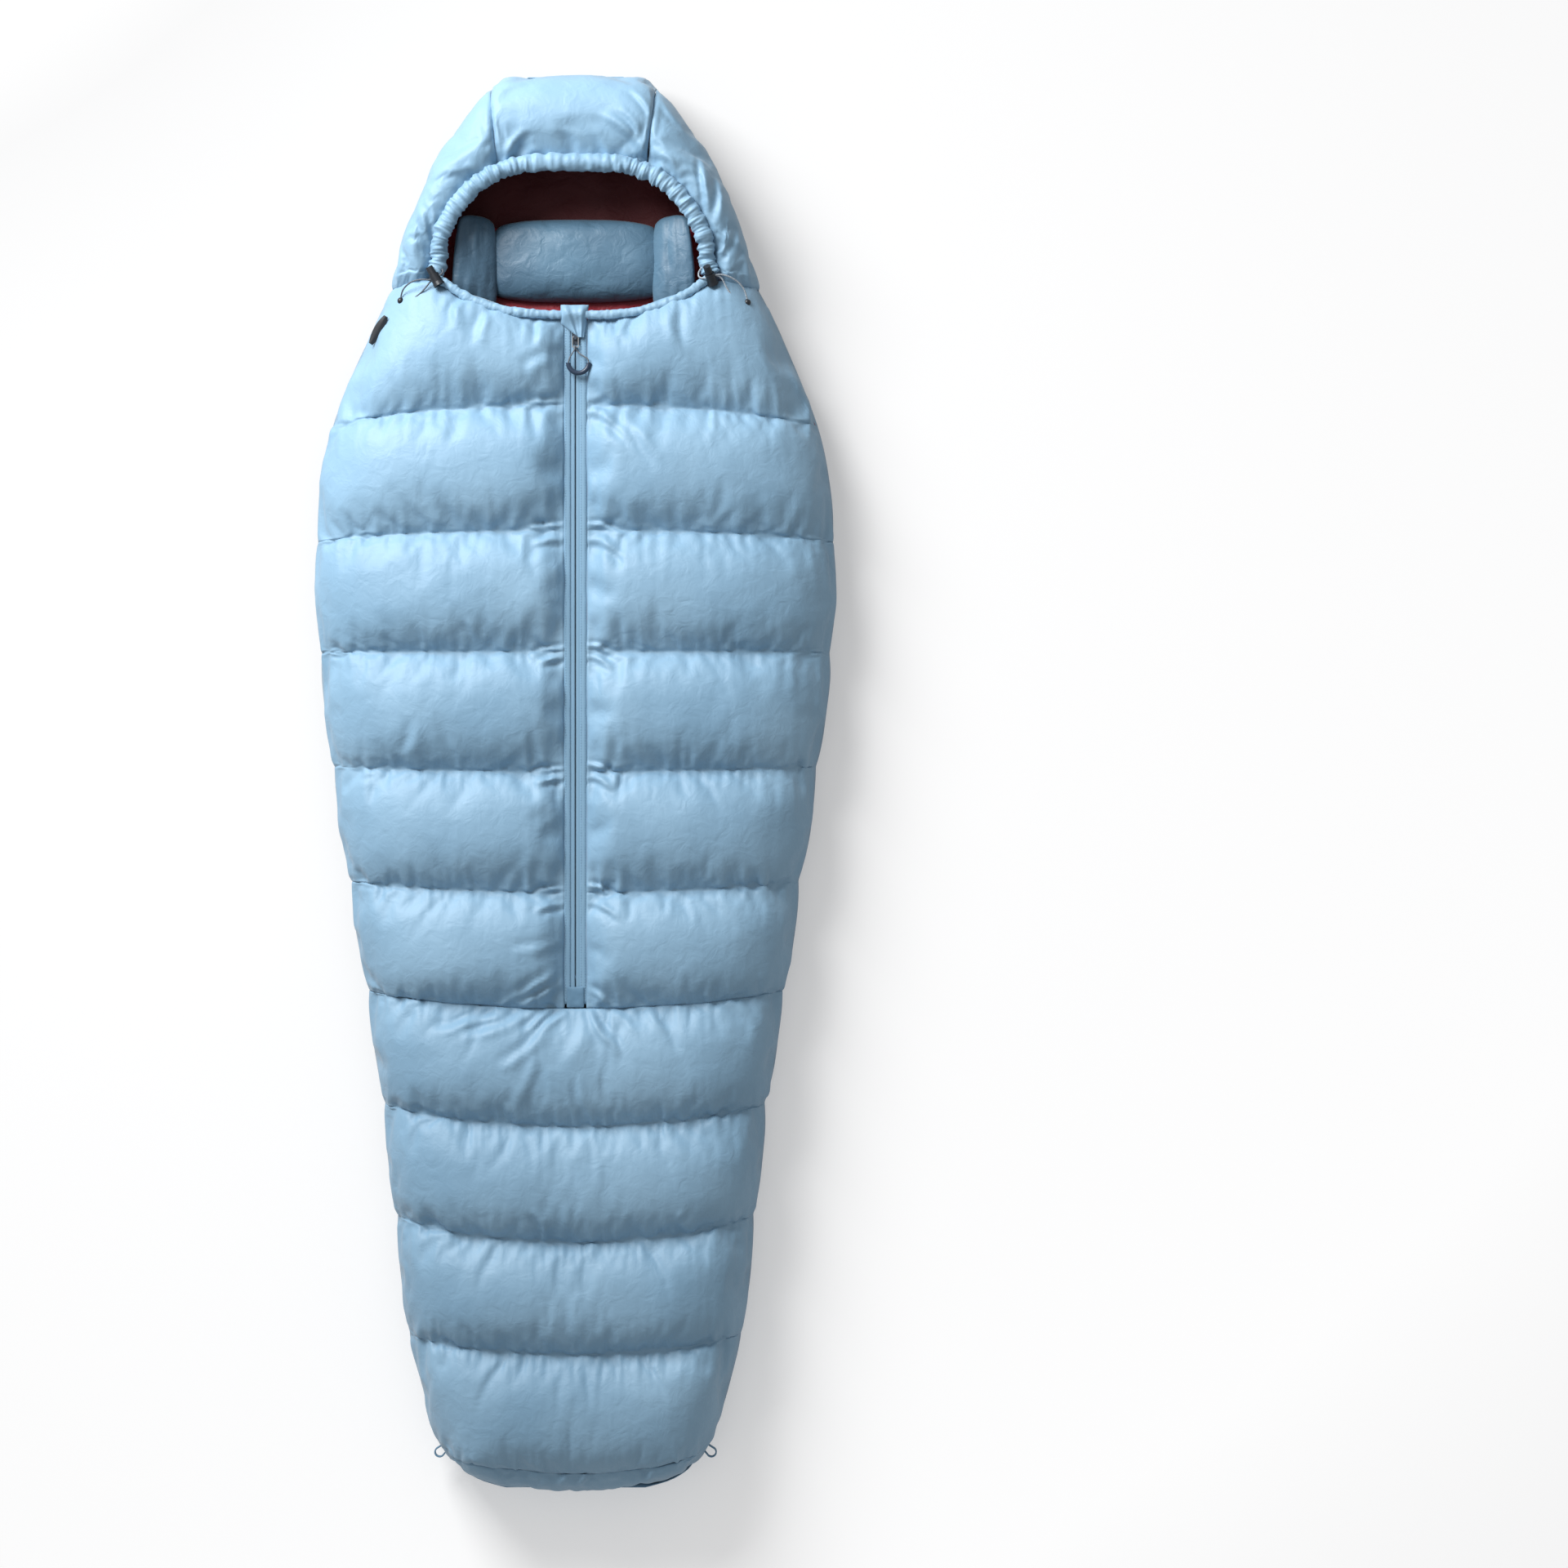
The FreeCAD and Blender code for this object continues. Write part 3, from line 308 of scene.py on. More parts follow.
def only(piece):
    """Deselect everything, and make one piece active and selected."""
    bpy.ops.object.select_all(action="DESELECT")
    piece.select_set(True)
    bpy.context.view_layer.objects.active = piece


def fill_cloth(piece, pressure=4.0, spare=0.05, most=0.014, frames=18):
    """Blow a cloth up from inside by simulation, with spare cloth between its held seams."""
    only(piece)
    before = [vertex.co.copy() for vertex in piece.data.vertices]
    cloth = piece.modifiers.new("filling", "CLOTH")
    settings = cloth.settings
    settings.quality, settings.mass = 6, 0.12
    settings.tension_stiffness = settings.compression_stiffness = 18
    settings.shear_stiffness, settings.bending_stiffness = 4, 0.12
    settings.use_pressure, settings.uniform_pressure_force = True, pressure
    settings.vertex_group_mass = "held"
    settings.shrink_min = settings.shrink_max = -spare
    settings.effector_weights.gravity = 0
    cloth.collision_settings.use_collision = False
    cloth.point_cache.frame_start, cloth.point_cache.frame_end = 1, frames
    for number in range(1, frames + 1):
        bpy.context.scene.frame_set(number)
    bpy.ops.object.modifier_apply(modifier=cloth.name)
    bpy.context.scene.frame_set(1)
    for vertex, start in zip(piece.data.vertices, before):
        move = vertex.co - start
        if move.length > 1e-9:
            vertex.co = start + move * (most * math.tanh(move.length / most) / move.length)


def refine(piece):
    """One subdivision, kept in the mesh, and smooth faces."""
    only(piece)
    surface = piece.modifiers.new("smooth", "SUBSURF")
    surface.levels = surface.render_levels = 1
    bpy.ops.object.modifier_apply(modifier=surface.name)
    bpy.ops.object.shade_smooth()


def weight_of(piece, word):
    """The weight of every vertex in a group, as a list."""
    index = piece.vertex_groups[word].index
    found = [0.0] * len(piece.data.vertices)
    for vertex in piece.data.vertices:
        for entry in vertex.groups:
            if entry.group == index:
                found[vertex.index] = entry.weight
    return found


def pucker(piece, depth, across="Y", spacing=0.011, reach=0.07, broad=0.0018):
    """Small gathers that run away from each seam, and broad dents between them."""
    weights = [near * (1 - held) for near, held in zip(weight_of(piece, "gathered"),
                                                       weight_of(piece, "held"))]
    normals = [vertex.normal.copy() for vertex in piece.data.vertices]
    for vertex, normal, weight in zip(piece.data.vertices, normals, weights):
        x, y, z = vertex.co
        along = (x / spacing, y / reach, z / reach) if across == "Y" else (x / reach, y / spacing, 0)
        small = noise.noise(Vector(along)) + 0.45 * noise.noise(Vector(along) * 2.1)
        wide = noise.noise(Vector((x / 0.055, y / 0.075, z / 0.08)))
        patch = 0.75 + 0.8 * noise.noise(Vector((x / 0.045, y / 0.06, 9)))
        vertex.co += normal * (depth * small * weight * patch + broad * wide)


def thicken(piece, wall=0.0012):
    """Give a cloth its thickness, inwards."""
    only(piece)
    wall_maker = piece.modifiers.new("wall", "SOLIDIFY")
    wall_maker.thickness, wall_maker.offset = wall, -1.0
    bpy.ops.object.modifier_apply(modifier=wall_maker.name)


def drop_groups(piece):
    """The weights have done their work once the shape is kept."""
    piece.vertex_groups.clear()


gather_reach = 26.0
zip_gather = 22.0
across_steps = 48


def front_cloth(name, first, last, side):
    """One cloth of the front: a side of the zip, or side 0 for the whole width below it."""
    shares = [1 - (1 - j / across_steps) ** 1.15 for j in range(across_steps + 1)]
    if side == 0:
        places = [(-share, -1) for share in reversed(shares[1:])] + [(share, 1) for share in shares]
    else:
        places = [(share * side, side) for share in shares]
        if side < 0:
            places.reverse()
    points, held, near = [], [], []
    for number, way in chamber_rows(first, last):
        line, pins, gathers = [], [], []
        pitch = SEAMS[number][0] - SEAMS[number + 1][0]
        from_seam = min(way, 1 - way) * pitch
        for signed, way_out in places:
            share = abs(signed)
            line.append(front_point(number, way, share, way_out, zip_half if side else 0.0))
            at_zip = side != 0 and share < 0.001
            pins.append(1.0 if from_seam < 0.01 or share > 0.999 or at_zip else 0.0)
            from_zip = share * 360 if side else 1e3
            gathers.append(math.exp(-from_seam / gather_reach)
                           + 0.8 * math.exp(-from_zip / zip_gather)
                           + 0.4 * math.exp(-(1 - share) * 360 / 30))
        points.append(line)
        held.append(pins)
        near.append(gathers)
    return cloth_grid(name, points, held, near, shell_cloth)


def press_folds(piece, folds):
    """Press folds into a cloth: each runs from (x, y) to (x, y) in mm, with its height and
    width, a ridge on its left and a furrow on its right, and fades at both ends."""
    for x0, y0, x1, y1, height, width in folds:
        length = math.hypot(x1 - x0, y1 - y0)
        along_x, along_y = (x1 - x0) / length, (y1 - y0) / length
        for vertex in piece.data.vertices:
            x, y = vertex.co.x * 1000 - x0, vertex.co.y * 1000 - y0
            way = (x * along_x + y * along_y) / length
            if vertex.co.z < 0.05 or not -0.05 < way < 1.05:
                continue
            off = (along_x * y - along_y * x) / width + 0.6 * math.sin(way * 4 + x0)
            if abs(off) < 4:
                fade = max(0.0, math.sin(math.pi * min(1.0, max(0.0, way)))) ** 0.6
                wave = math.exp(-(off - 0.8) ** 2) - math.exp(-(off + 0.8) ** 2)
                vertex.co.z += height / 1000 * wave * fade


# Folds pulled into the legs' cloth by the end of the zip, and soft ones lower down.
LEG_FOLDS = [(-14, -331, -52, -372, 5, 5), (-36, -368, -110, -412, 4, 7),
             (-30, -330, -75, -362, 4, 5), (-60, -333, -165, -374, 4, 7),
             (-95, -336, -190, -366, 3, 6), (-130, -336, -205, -362, 3, 6),
             (24, -331, 60, -380, -5, 5), (34, -345, 74, -396, -3, 5), (60, -334, 100, -362, -3, 6),
             (112, -335, 145, -362, -3, 5), (4, -345, -6, -420, 2.5, 12), (6, -430, 26, -500, 3, 7),
             (-52, -400, -70, -490, -3, 9), (-20, -620, 2, -672, 3, 8), (-60, -628, -40, -672, 3, 7),
             (150, -630, 170, -668, 3, 7), (0, -745, 10, -834, 2.5, 9), (-100, -470, -84, -502, 3, 6)]
# Creases where the seams run into the zip, on the left and on the right.
LEFT_FOLDS = [(-14, 204, -56, 192, 4, 4), (-14, 186, -44, 168, -4, 5), (-14, 26, -62, 14, 4, 4),
              (-14, 8, -50, -8, -4, 5), (-14, 386, -70, 372, 4, 4), (-14, 360, -60, 340, -3, 6),
              (-14, -150, -60, -163, 4, 4), (-14, -178, -52, -196, -4, 5),
              (-14, 568, -80, 553, 4, 5), (-15, -286, -78, -330, 4, 5),
              (-15, -262, -110, -332, 3, 6), (-15, -226, -90, -250, 3, 6),
              (-160, 236, -140, 206, 3, 6), (-230, 90, -250, 40, 3, 8), (-14, 640, -70, 600, 3, 8),
              (-120, 700, -140, 640, 4, 9), (-170, 712, -172, 668, 4, 7), (-60, 684, -50, 640, 3, 7)]
RIGHT_FOLDS = [(22, 206, 62, 192, -4, 4), (22, 184, 58, 164, 4, 5), (22, 30, 66, 14, -4, 4),
               (22, 6, 60, -12, 4, 5), (22, 384, 76, 371, -4, 4), (22, 356, 80, 326, 4, 6),
               (22, -148, 60, -163, -4, 4), (22, -180, 70, -200, 4, 5), (22, 545, 90, 500, 4, 6),
               (60, 540, 130, 470, 3, 8), (316, 640, 363, 528, -5, 6), (150, 700, 160, 640, -4, 8),
               (22, -300, 60, -328, -4, 5), (80, 690, 84, 650, -3, 7)]


front_pieces = (
    ("front_cloth_left", 0, last_upper, -1, [f"front_baffle_left_{i}" for i in range(1, 7)]),
    ("front_cloth_right", 0, last_upper, 1, [f"front_baffle_right_{i}" for i in range(1, 7)]),
    ("front_cloth_legs", last_upper, 10, 0, [f"front_lower_baffle_{i}" for i in range(1, 5)]))
for (name, first, last, side, nodes), folds in zip(front_pieces,
                                                 (LEFT_FOLDS, RIGHT_FOLDS, LEG_FOLDS)):
    piece = front_cloth(name, first, last, side)
    fill_cloth(piece)
    refine(piece)
    pucker(piece, 0.0046)
    press_folds(piece, folds)
    drop_groups(piece)
    thicken(piece)
    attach(piece, "bag")
    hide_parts(*nodes)

# ---------------------------------------------------------------------------
# Foot end: a flat panel of the same taffeta, sewn to the last front seam above
# and to the back below, and blown round by the filling.
FOOT_EDGE = [(0, -1050), (0.16, -1049), (0.55, -1042), (0.82, -1026), (0.95, -1012), (1, -1003)]
foot_half = 190.0


def foot_edge(share):
    for low, high in zip(FOOT_EDGE, FOOT_EDGE[1:]):
        if share <= high[0]:
            return mix(low[1], high[1], (share - low[0]) / (high[0] - low[0]))
    return FOOT_EDGE[-1][1]


foot_steps, foot_rows = 30, 14
points, held, near = [], [], []
for i in range(foot_rows + 1):
    way = i / foot_rows
    line, pins, gathers = [], [], []
    for j in range(-foot_steps, foot_steps + 1):
        share, side = abs(j) / foot_steps, -1 if j < 0 else 1
        top = front_point(9, 1.0, share, side, 0.0)
        edge = Vector((mix(zip_centre, side * foot_half, share), foot_edge(share), side_level))
        turn = way * math.pi / 2
        line.append(Vector((mix(top.x, edge.x, math.sin(turn)), mix(top.y, edge.y, math.sin(turn)),
                            mix(top.z, edge.z, 1 - math.cos(turn)))))
        pins.append(1.0 if i in (0, foot_rows) or share > 0.999 else 0.0)
        gathers.append(math.exp(-min(way, 1 - way) * 100 / 30))
    points.append(line)
    held.append(pins)
    near.append(gathers)
foot_panel = cloth_grid("foot_end_cloth", points, held, near, shell_cloth)
fill_cloth(foot_panel, most=0.008)
refine(foot_panel)
pucker(foot_panel, 0.004)
press_folds(foot_panel, [(-14, -1008, -20, -1044, 4, 6), (22, -1004, 16, -1036, -5, 5),
                         (-90, -1008, -96, -1034, 3, 5), (104, -1004, 112, -1032, 4, 6)])
drop_groups(foot_panel)
thicken(foot_panel)
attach(foot_panel, "bag")
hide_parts("foot_end_panel")

# ---------------------------------------------------------------------------
# Hood: two side panels and a crown panel of the shell taffeta over down, sewn to
# each other, to the hem of the face opening and to the back.
# Each station: hem inside, hem outside and outer edge as (x, y), and the hem's level, in mm.
RIM = [((211, 742), (211, 742), (272, 742), 98), ((185, 766), (211, 766), (264, 768), 104),
       ((181, 800), (207, 802), (251, 804), 116), ((163, 832), (186, 847), (222, 877), 124),
       ((135, 864), (152, 886), (187, 950), 128), ((103, 884), (112, 909), (123, 1034), 128),
       ((57, 895), (61, 922), (78, 1050), 128)]


def curve_through(places, way):
    """A smooth line through a list of places, from its first at 0 to its last at the end."""
    number = min(int(way), len(places) - 2)
    t = way - number
    a, b, c, d = (places[max(0, min(len(places) - 1, number + k))] for k in (-1, 0, 1, 2))
    return [0.5 * (2 * q + (r - p) * t + (2 * p - 5 * q + 4 * r - s) * t * t
                   + (3 * q - p - 3 * r + s) * t ** 3) for p, q, r, s in zip(a, b, c, d)]


def rim_line(column):
    """Left neck, over the crown, to the right neck, as (x, y, level)."""
    right = [row[column] + (row[3],) for row in RIM]
    left = [(-x, y, level) for x, y, level in right]
    return left + right[::-1]


hem_outside, hood_edge, hem_inside = rim_line(1), rim_line(2), rim_line(0)
crown_seams = (5, 8)
hood_end = len(hood_edge) - 1


def hood_point(way, out):
    """A point of the hood cloth, from under the hem out to its edge."""
    start, end = curve_through(hem_outside, way), curve_through(hood_edge, way)
    tucked = curve_through(hem_inside, way)
    start = [mix(a, b, 0.3) for a, b in zip(start, tucked)]
    level = start[2] + 9
    body = (1 - out ** 4.5) ** 0.6 if out < 1 else 0.0
    dip = 17 * math.exp(-(out / 0.16) ** 2)
    from_seam = min(abs(way - seam) for seam in crown_seams)
    seam_dip = 7 * math.exp(-(from_seam / 0.09) ** 2) * body
    neck = max(0.0, 1 - min(way, hood_end - way) / 0.4) ** 2
    return Vector((mix(start[0], end[0], out), mix(start[1], end[1], out) - 9 * neck,
                   side_level + (level - side_level) * body * (1 - 0.28 * neck)
                   - dip * body - seam_dip))


def hood_cloth(name, first, last):
    """One panel of the hood, between two ways along the rim."""
    count = round((last - first) * 11)
    points, held, near = [], [], []
    rows = 26
    for i in range(rows + 1):
        out = 1 - (1 - i / rows) ** 1.1
        line, pins, gathers = [], [], []
        for j in range(count + 1):
            way = mix(first, last, j / count)
            line.append(hood_point(way, out))
            edge = min(j, count - j)
            pins.append(1.0 if i in (0, rows) or edge == 0 else 0.0)
            gathers.append(1.1 * math.exp(-i / 3.5) + 0.8 * math.exp(-edge / 2.0)
                           + 0.3 * math.exp(-(rows - i) / 3))
        points.append(line[::-1])
        held.append(pins[::-1])
        near.append(gathers[::-1])
    return cloth_grid(name, points, held, near, shell_cloth)


HOOD_FOLDS = {
    "hood_cloth_left": [(-232, 862, -206, 776, 3, 6), (-216, 850, -196, 790, 3, 5),
                        (-246, 800, -226, 752, 3, 7), (-160, 900, -130, 880, 3, 6),
                        (-200, 820, -204, 770, 4, 5)],
    "hood_cloth_crown": [(40, 982, 112, 912, 5, 7), (84, 1020, 116, 972, 3, 5),
                         (66, 986, 104, 944, 3, 5), (-98, 908, -62, 956, 5, 6),
                         (-10, 958, 8, 924, 4, 7), (-50, 934, -84, 912, 3, 6),
                         (30, 950, 60, 916, 3, 6), (-110, 1004, -60, 1030, 3, 8)],
    "hood_cloth_right": [(132, 1000, 160, 960, 3, 5), (128, 920, 150, 896, 4, 5),
                         (190, 920, 192, 838, 4, 5), (216, 888, 208, 820, 4, 6),
                         (236, 830, 222, 768, -4, 6), (206, 900, 226, 860, 3, 6),
                         (210, 800, 262, 776, 3, 7)]}
for name, first, last, node in (("hood_cloth_left", 0, crown_seams[0], "hood_left_panel"),
                                ("hood_cloth_crown", *crown_seams, "hood_crown_panel"),
                                ("hood_cloth_right", crown_seams[1], hood_end,
                                 "hood_right_panel")):
    panel = hood_cloth(name, first, last)
    fill_cloth(panel, most=0.008)
    refine(panel)
    pucker(panel, 0.0045, spacing=0.014, reach=0.05, broad=0.003)
    press_folds(panel, HOOD_FOLDS[name])
    drop_groups(panel)
    thicken(panel)
    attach(panel, "bag")
    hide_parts(node)

# ---------------------------------------------------------------------------
# Hood hem and neck hem: taffeta turned over and sewn down as a channel for the
# drawcord, gathered into small ruffles because the cord draws it in.


def hem_tube(name, middle, half_width, half_height, steps, ruffle):
    """A gathered channel: a rounded tube along a line of (x, y, level), with closed ends."""
    around = 20
    points = []
    for i in range(steps + 1):
        way = i / steps * (len(middle) - 1)
        place = Vector(curve_through(middle, way))
        ahead = Vector(curve_through(middle, min(len(middle) - 1, way + 0.02)))
        behind = Vector(curve_through(middle, max(0, way - 0.02)))
        along = (ahead - behind).normalized()
        outward = Vector((along.y, -along.x, 0)).normalized()
        end = min(1.0, min(i, steps - i) / 4)
        swell = math.sqrt(max(0.02, 1 - (1 - end) ** 2))
        line = []
        for j in range(around):
            turn = 2 * math.pi * j / around
            gather = noise.noise(Vector((place.x / 8, place.y / 8, 1.1 * math.sin(turn))))
            fine = noise.noise(Vector((place.x / 3.4, place.y / 3.4, 0.8 * math.cos(turn))))
            size = swell * (1 + ruffle * gather + ruffle * 0.7 * fine)
            line.append(place + outward * (half_width * math.cos(turn) * size)
                        + Vector((0, 0, half_height * math.sin(turn) * size)))
        points.append(line)
    zero = [[0.0] * around for _ in points]
    piece = cloth_grid(name, points, zero, zero, shell_cloth, wrap=True)
    only(piece)
    bpy.ops.object.mode_set(mode="EDIT")
    bpy.ops.mesh.select_all(action="DESELECT")
    bpy.ops.mesh.select_non_manifold()
    bpy.ops.mesh.fill()
    bpy.ops.mesh.select_all(action="SELECT")
    bpy.ops.mesh.normals_make_consistent(inside=False)
    bpy.ops.object.mode_set(mode="OBJECT")
    drop_groups(piece)
    refine(piece)
    return piece


hem_line = [tuple((a + b) / 2 for a, b in zip(inner[:2], outer[:2])) + (inner[2],)
            for inner, outer in zip(hem_inside, hem_outside)]
hem_line[0] = (-206, 748, 104)
hem_line[-1] = (206, 748, 104)
hood_hem = hem_tube("hood_hem_cloth", hem_line, 13.0, 11.5, 400, 0.3)
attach(hood_hem, "bag")
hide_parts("hood_hem")

neck_line = [(-208, 746, 108), (-190, 737, 110), (-168, 722, 113), (-140, 707, 115),
             (-100, 695, 116), (-60, 690, 115), (-14, 688, 113), (22, 688, 113), (60, 689, 115),
             (100, 694, 116), (140, 706, 115), (172, 722, 113), (192, 737, 110), (208, 746, 108)]
neck_hem = hem_tube("neck_hem_cloth", neck_line, 6.5, 4.5, 260, 0.28)
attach(neck_hem, "bag")
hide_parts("neck_hem")

# ---------------------------------------------------------------------------
# Back: one cloth under the whole bag, sewn straight across at each seam, flat
# where it lies on the ground and round where it comes up to the side seam.


def outline_half(y):
    """Half width of the bag at a place along it, from the seams' ends and the hood's edge."""
    stations = [(-1050, 118), (-1042, 148), (-1026, 175), (-1003, 190)]
    stations += [(seam_place(i, 1.0)[0], SEAMS[i][2]) for i in range(10, -1, -1)]
    stations += [(row[2][1], row[2][0]) for row in RIM[1:]]
    for low, high in zip(stations, stations[1:]):
        if y <= high[0]:
            return mix(low[1], high[1], (y - low[0]) / (high[0] - low[0]))
    return stations[-1][1]


back_seams = [seam_place(i, 1.0)[0] for i in range(10, -1, -1)]
lowest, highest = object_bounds()[0][1] * 1000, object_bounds()[1][1] * 1000
back_rows, back_columns = 230, 56
points, held, near = [], [], []
for i in range(back_rows + 1):
    y = mix(lowest, highest, i / back_rows)
    half = outline_half(y)
    from_seam = min(abs(y - seam) for seam in back_seams)
    line, pins, gathers = [], [], []
    for j in range(back_columns + 1):
        share = 2 * j / back_columns - 1
        share = math.copysign(1 - (1 - abs(share)) ** 1.3, share)
        edge = abs(share) ** 10
        level = side_level * (1 - (1 - edge) ** 0.5)
        end = min(y - lowest, highest - y)
        level = max(level, side_level * (1 - min(1, end / 24) ** 0.5))
        level += 7 * math.exp(-(from_seam / 9) ** 2) * (1 - edge) + 1.2
        line.append(Vector(((half - 7) * share, y, min(level, side_level))))
        pins.append(1.0)
        gathers.append(math.exp(-from_seam / gather_reach) * (1 - edge))
    points.append(line)
    held.append(pins)
    near.append(gathers)
back_cloth = cloth_grid("back_cloth", points, held, near, shell_cloth)
refine(back_cloth)
pucker(back_cloth, 0.0025, broad=0.0008)
drop_groups(back_cloth)
thicken(back_cloth)
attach(back_cloth, "bag")
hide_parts("hood_back_pad", *[f"back_baffle_{i}" for i in range(1, 11)])

# ---------------------------------------------------------------------------
# Lining: red nylon, lighter and softer than the shell, over the back inside the
# bag and up the inside of the hood to its hem.
lining_cloth = woven_nylon("soft_nylon_lining_red", "#94182a", "#ac2538", 0.5, 0.2, 0.5)
# The same red lining, painted dark maroon and matt as painted shade, for where it lies deep under the
# hood's crown.
lining_painted_shade = woven_nylon("soft_nylon_lining_painted_shade_maroon", "#3b060c", "#4c0a12", 0.75, 0.0, 0.5)
lining_level = 42.0
lining_rows, lining_columns = 70, 60
points = []
for i in range(lining_rows + 1):
    y = mix(480, 826, i / lining_rows)
    half = outline_half(y) - 8
    line = []
    for j in range(lining_columns + 1):
        share = 2 * j / lining_columns - 1
        swell = 5 * noise.noise(Vector((share * 5, y / 70, 0)))
        line.append(Vector((half * share, y, lining_level + swell)))
    points.append(line)
zero = [[0.0] * (lining_columns + 1) for _ in points]
floor_lining = cloth_grid("lining_back", [row[::-1] for row in points], zero, zero, lining_cloth)
drop_groups(floor_lining)
refine(floor_lining)
thicken(floor_lining, 0.0005)
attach(floor_lining, "bag")
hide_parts("lining")

points = []
for i in range(31):
    y = mix(818, 1034, i / 30)
    half = outline_half(y) - 8
    points.append([Vector((half * (2 * j / 40 - 1), y,
                           lining_level - 4 + 6 * noise.noise(Vector((j / 5, y / 60, 3)))))
                   for j in range(40, -1, -1)])
zero = [[0.0] * 41 for _ in points]
# The floor of the head lies deep under the crown, so its lining takes the painted shade.
head_lining = cloth_grid("lining_head", points, zero, zero, lining_painted_shade)
drop_groups(head_lining)
refine(head_lining)
thicken(head_lining, 0.0005)
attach(head_lining, "bag")

# The sides of the hood's lining are the plain red, and its crown takes the painted shade.
for name, first, last, cloth in (("lining_hood_left", 0, 3.4, lining_cloth),
                                 ("lining_hood_crown", 3.3, hood_end - 3.3, lining_painted_shade),
                                 ("lining_hood_right", hood_end - 3.4, hood_end, lining_cloth)):
    points = []
    count = round((last - first) * 10)
    for i in range(25):
        out = i / 24
        row = []
        for j in range(count + 1):
            way = mix(first, last, j / count)
            inside, edge = curve_through(hem_line, way), curve_through(hood_edge, way)
            swell = 1 + 0.08 * noise.noise(Vector((inside[0] / 30, inside[1] / 30, out * 2)))
            away = 0.9 * math.sin(out * math.pi / 2) * swell
            row.append(Vector((mix(inside[0], edge[0] * 0.95, away),
                               mix(inside[1], edge[1] - 8, away),
                               mix(inside[2] - 13, lining_level - 2, out))))
        points.append(row)
    zero = [[0.0] * (count + 1) for _ in points]
    hood_lining = cloth_grid(name, points, zero, zero, cloth)
    drop_groups(hood_lining)
    refine(hood_lining)
    thicken(hood_lining, 0.0005)
    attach(hood_lining, "bag")

# ---------------------------------------------------------------------------
# Draft collar: a soft padded roll of the shell taffeta behind the neck, with two
# wings that stand up beside it.
# The collar's taffeta is the shell's, painted darker than the shell as painted shade inside the hood.
collar_taffeta_painted_shade = woven_nylon("calendered_nylon_taffeta_collar_painted_shade", "#405d73", "#54768d", 0.5, 0.15, 0.45)


def pillow(name, corners, crown, material, turns=3):
    """A small closed pad over four corners (x, y, z in mm), thick in its middle."""
    columns, rows = 34, 20
    mesh = bpy.data.meshes.new(name)
    places, faces = [], []
    a, b, c, d = (Vector(corner) for corner in corners)
    for layer in (1, -1):
        for i in range(rows + 1):
            for j in range(columns + 1):
                u, v = j / columns, i / rows
                u, v = (0.5 + (u - 0.5) * (1 - 0.10 * abs(2 * v - 1) ** 3),
                        0.5 + (v - 0.5) * (1 - 0.14 * abs(2 * u - 1) ** 3))
                ground = a.lerp(b, u).lerp(d.lerp(c, u), v)
                full = ((1 - abs(2 * j / columns - 1) ** 4) ** 0.5
                        * (1 - abs(2 * i / rows - 1) ** 2.6) ** 0.6)
                fold = noise.noise(Vector((u * 5, v * 2.5, turns))) * 5 * full
                height = (crown * full + fold) if layer > 0 else -3 * full
                places.append((ground + Vector((0, 0, height))) / 1000)
    size = (rows + 1) * (columns + 1)
    for layer in (0, 1):
        for i in range(rows):
            for j in range(columns):
                k = layer * size + i * (columns + 1) + j
                face = (k, k + 1, k + columns + 2, k + columns + 1)
                faces.append(face if layer == 0 else face[::-1])
    mesh.from_pydata([tuple(place) for place in places], [], faces)
    mesh.materials.append(material)
    piece = bpy.data.objects.new(name, mesh)
    bpy.context.scene.collection.objects.link(piece)
    only(piece)
    bpy.ops.object.mode_set(mode="EDIT")
    bpy.ops.mesh.select_all(action="SELECT")
    bpy.ops.mesh.remove_doubles(threshold=0.0002)
    bpy.ops.mesh.normals_make_consistent(inside=False)
    bpy.ops.object.mode_set(mode="OBJECT")
    piece.vertex_groups.new(name="held")
    fill_cloth(piece, pressure=3.0, spare=0.08, most=0.006, frames=16)
    drop_groups(piece)
    refine(piece)
    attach(piece, "bag")
    return piece


collar_back = pillow("draft_collar_roll", ((-130, 714, 46), (134, 714, 46), (124, 838, 50),
                                           (-122, 838, 50)), 24, collar_taffeta_painted_shade)
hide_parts("draft_collar")
for side, word in ((-1, "left"), (1, "right")):
    pillow(f"draft_collar_wing_{word}", ((side * 116, 694, 56), (side * 182, 712, 84),
                                         (side * 170, 840, 90), (side * 118, 836, 58)),
           13, collar_taffeta_painted_shade, turns=6 + side)

# ---------------------------------------------------------------------------
# Zip: two woven polyester tapes sewn to the front cloths with a row of stitches
# each, meeting over the coil in a narrow fold.


def woven_tape(name, dark, light, rib):
    """Woven tape: ribs along it at its real spacing, matt."""
    material, tree, shader = new_material(name, {"Roughness": 0.6, "Sheen Weight": 0.2})
    place = add(tree, "ShaderNodeTexCoord").outputs["Object"]
    ribs = add(tree, "ShaderNodeTexWave", {"Vector": place, "Scale": 0.314 / rib,
                                           "Distortion": 0.4}, bands_direction="X")
    colours = two_tones(tree, dark, light, ribs.outputs["Fac"], 0.1, 0.9)
    tree.links.new(colours, shader.inputs["Base Color"])
    relief = add(tree, "ShaderNodeBump", {"Height": ribs.outputs["Fac"], "Strength": 0.35,
                                          "Distance": 0.0004})
    tree.links.new(relief.outputs["Normal"], shader.inputs["Normal"])
    return material


tape_cloth = woven_tape("woven_polyester_zip_tape", "#6a90ab", "#84a9c2", 0.0011)
zip_top, zip_bottom, tape_top = 684.0, -326.0, 106.8
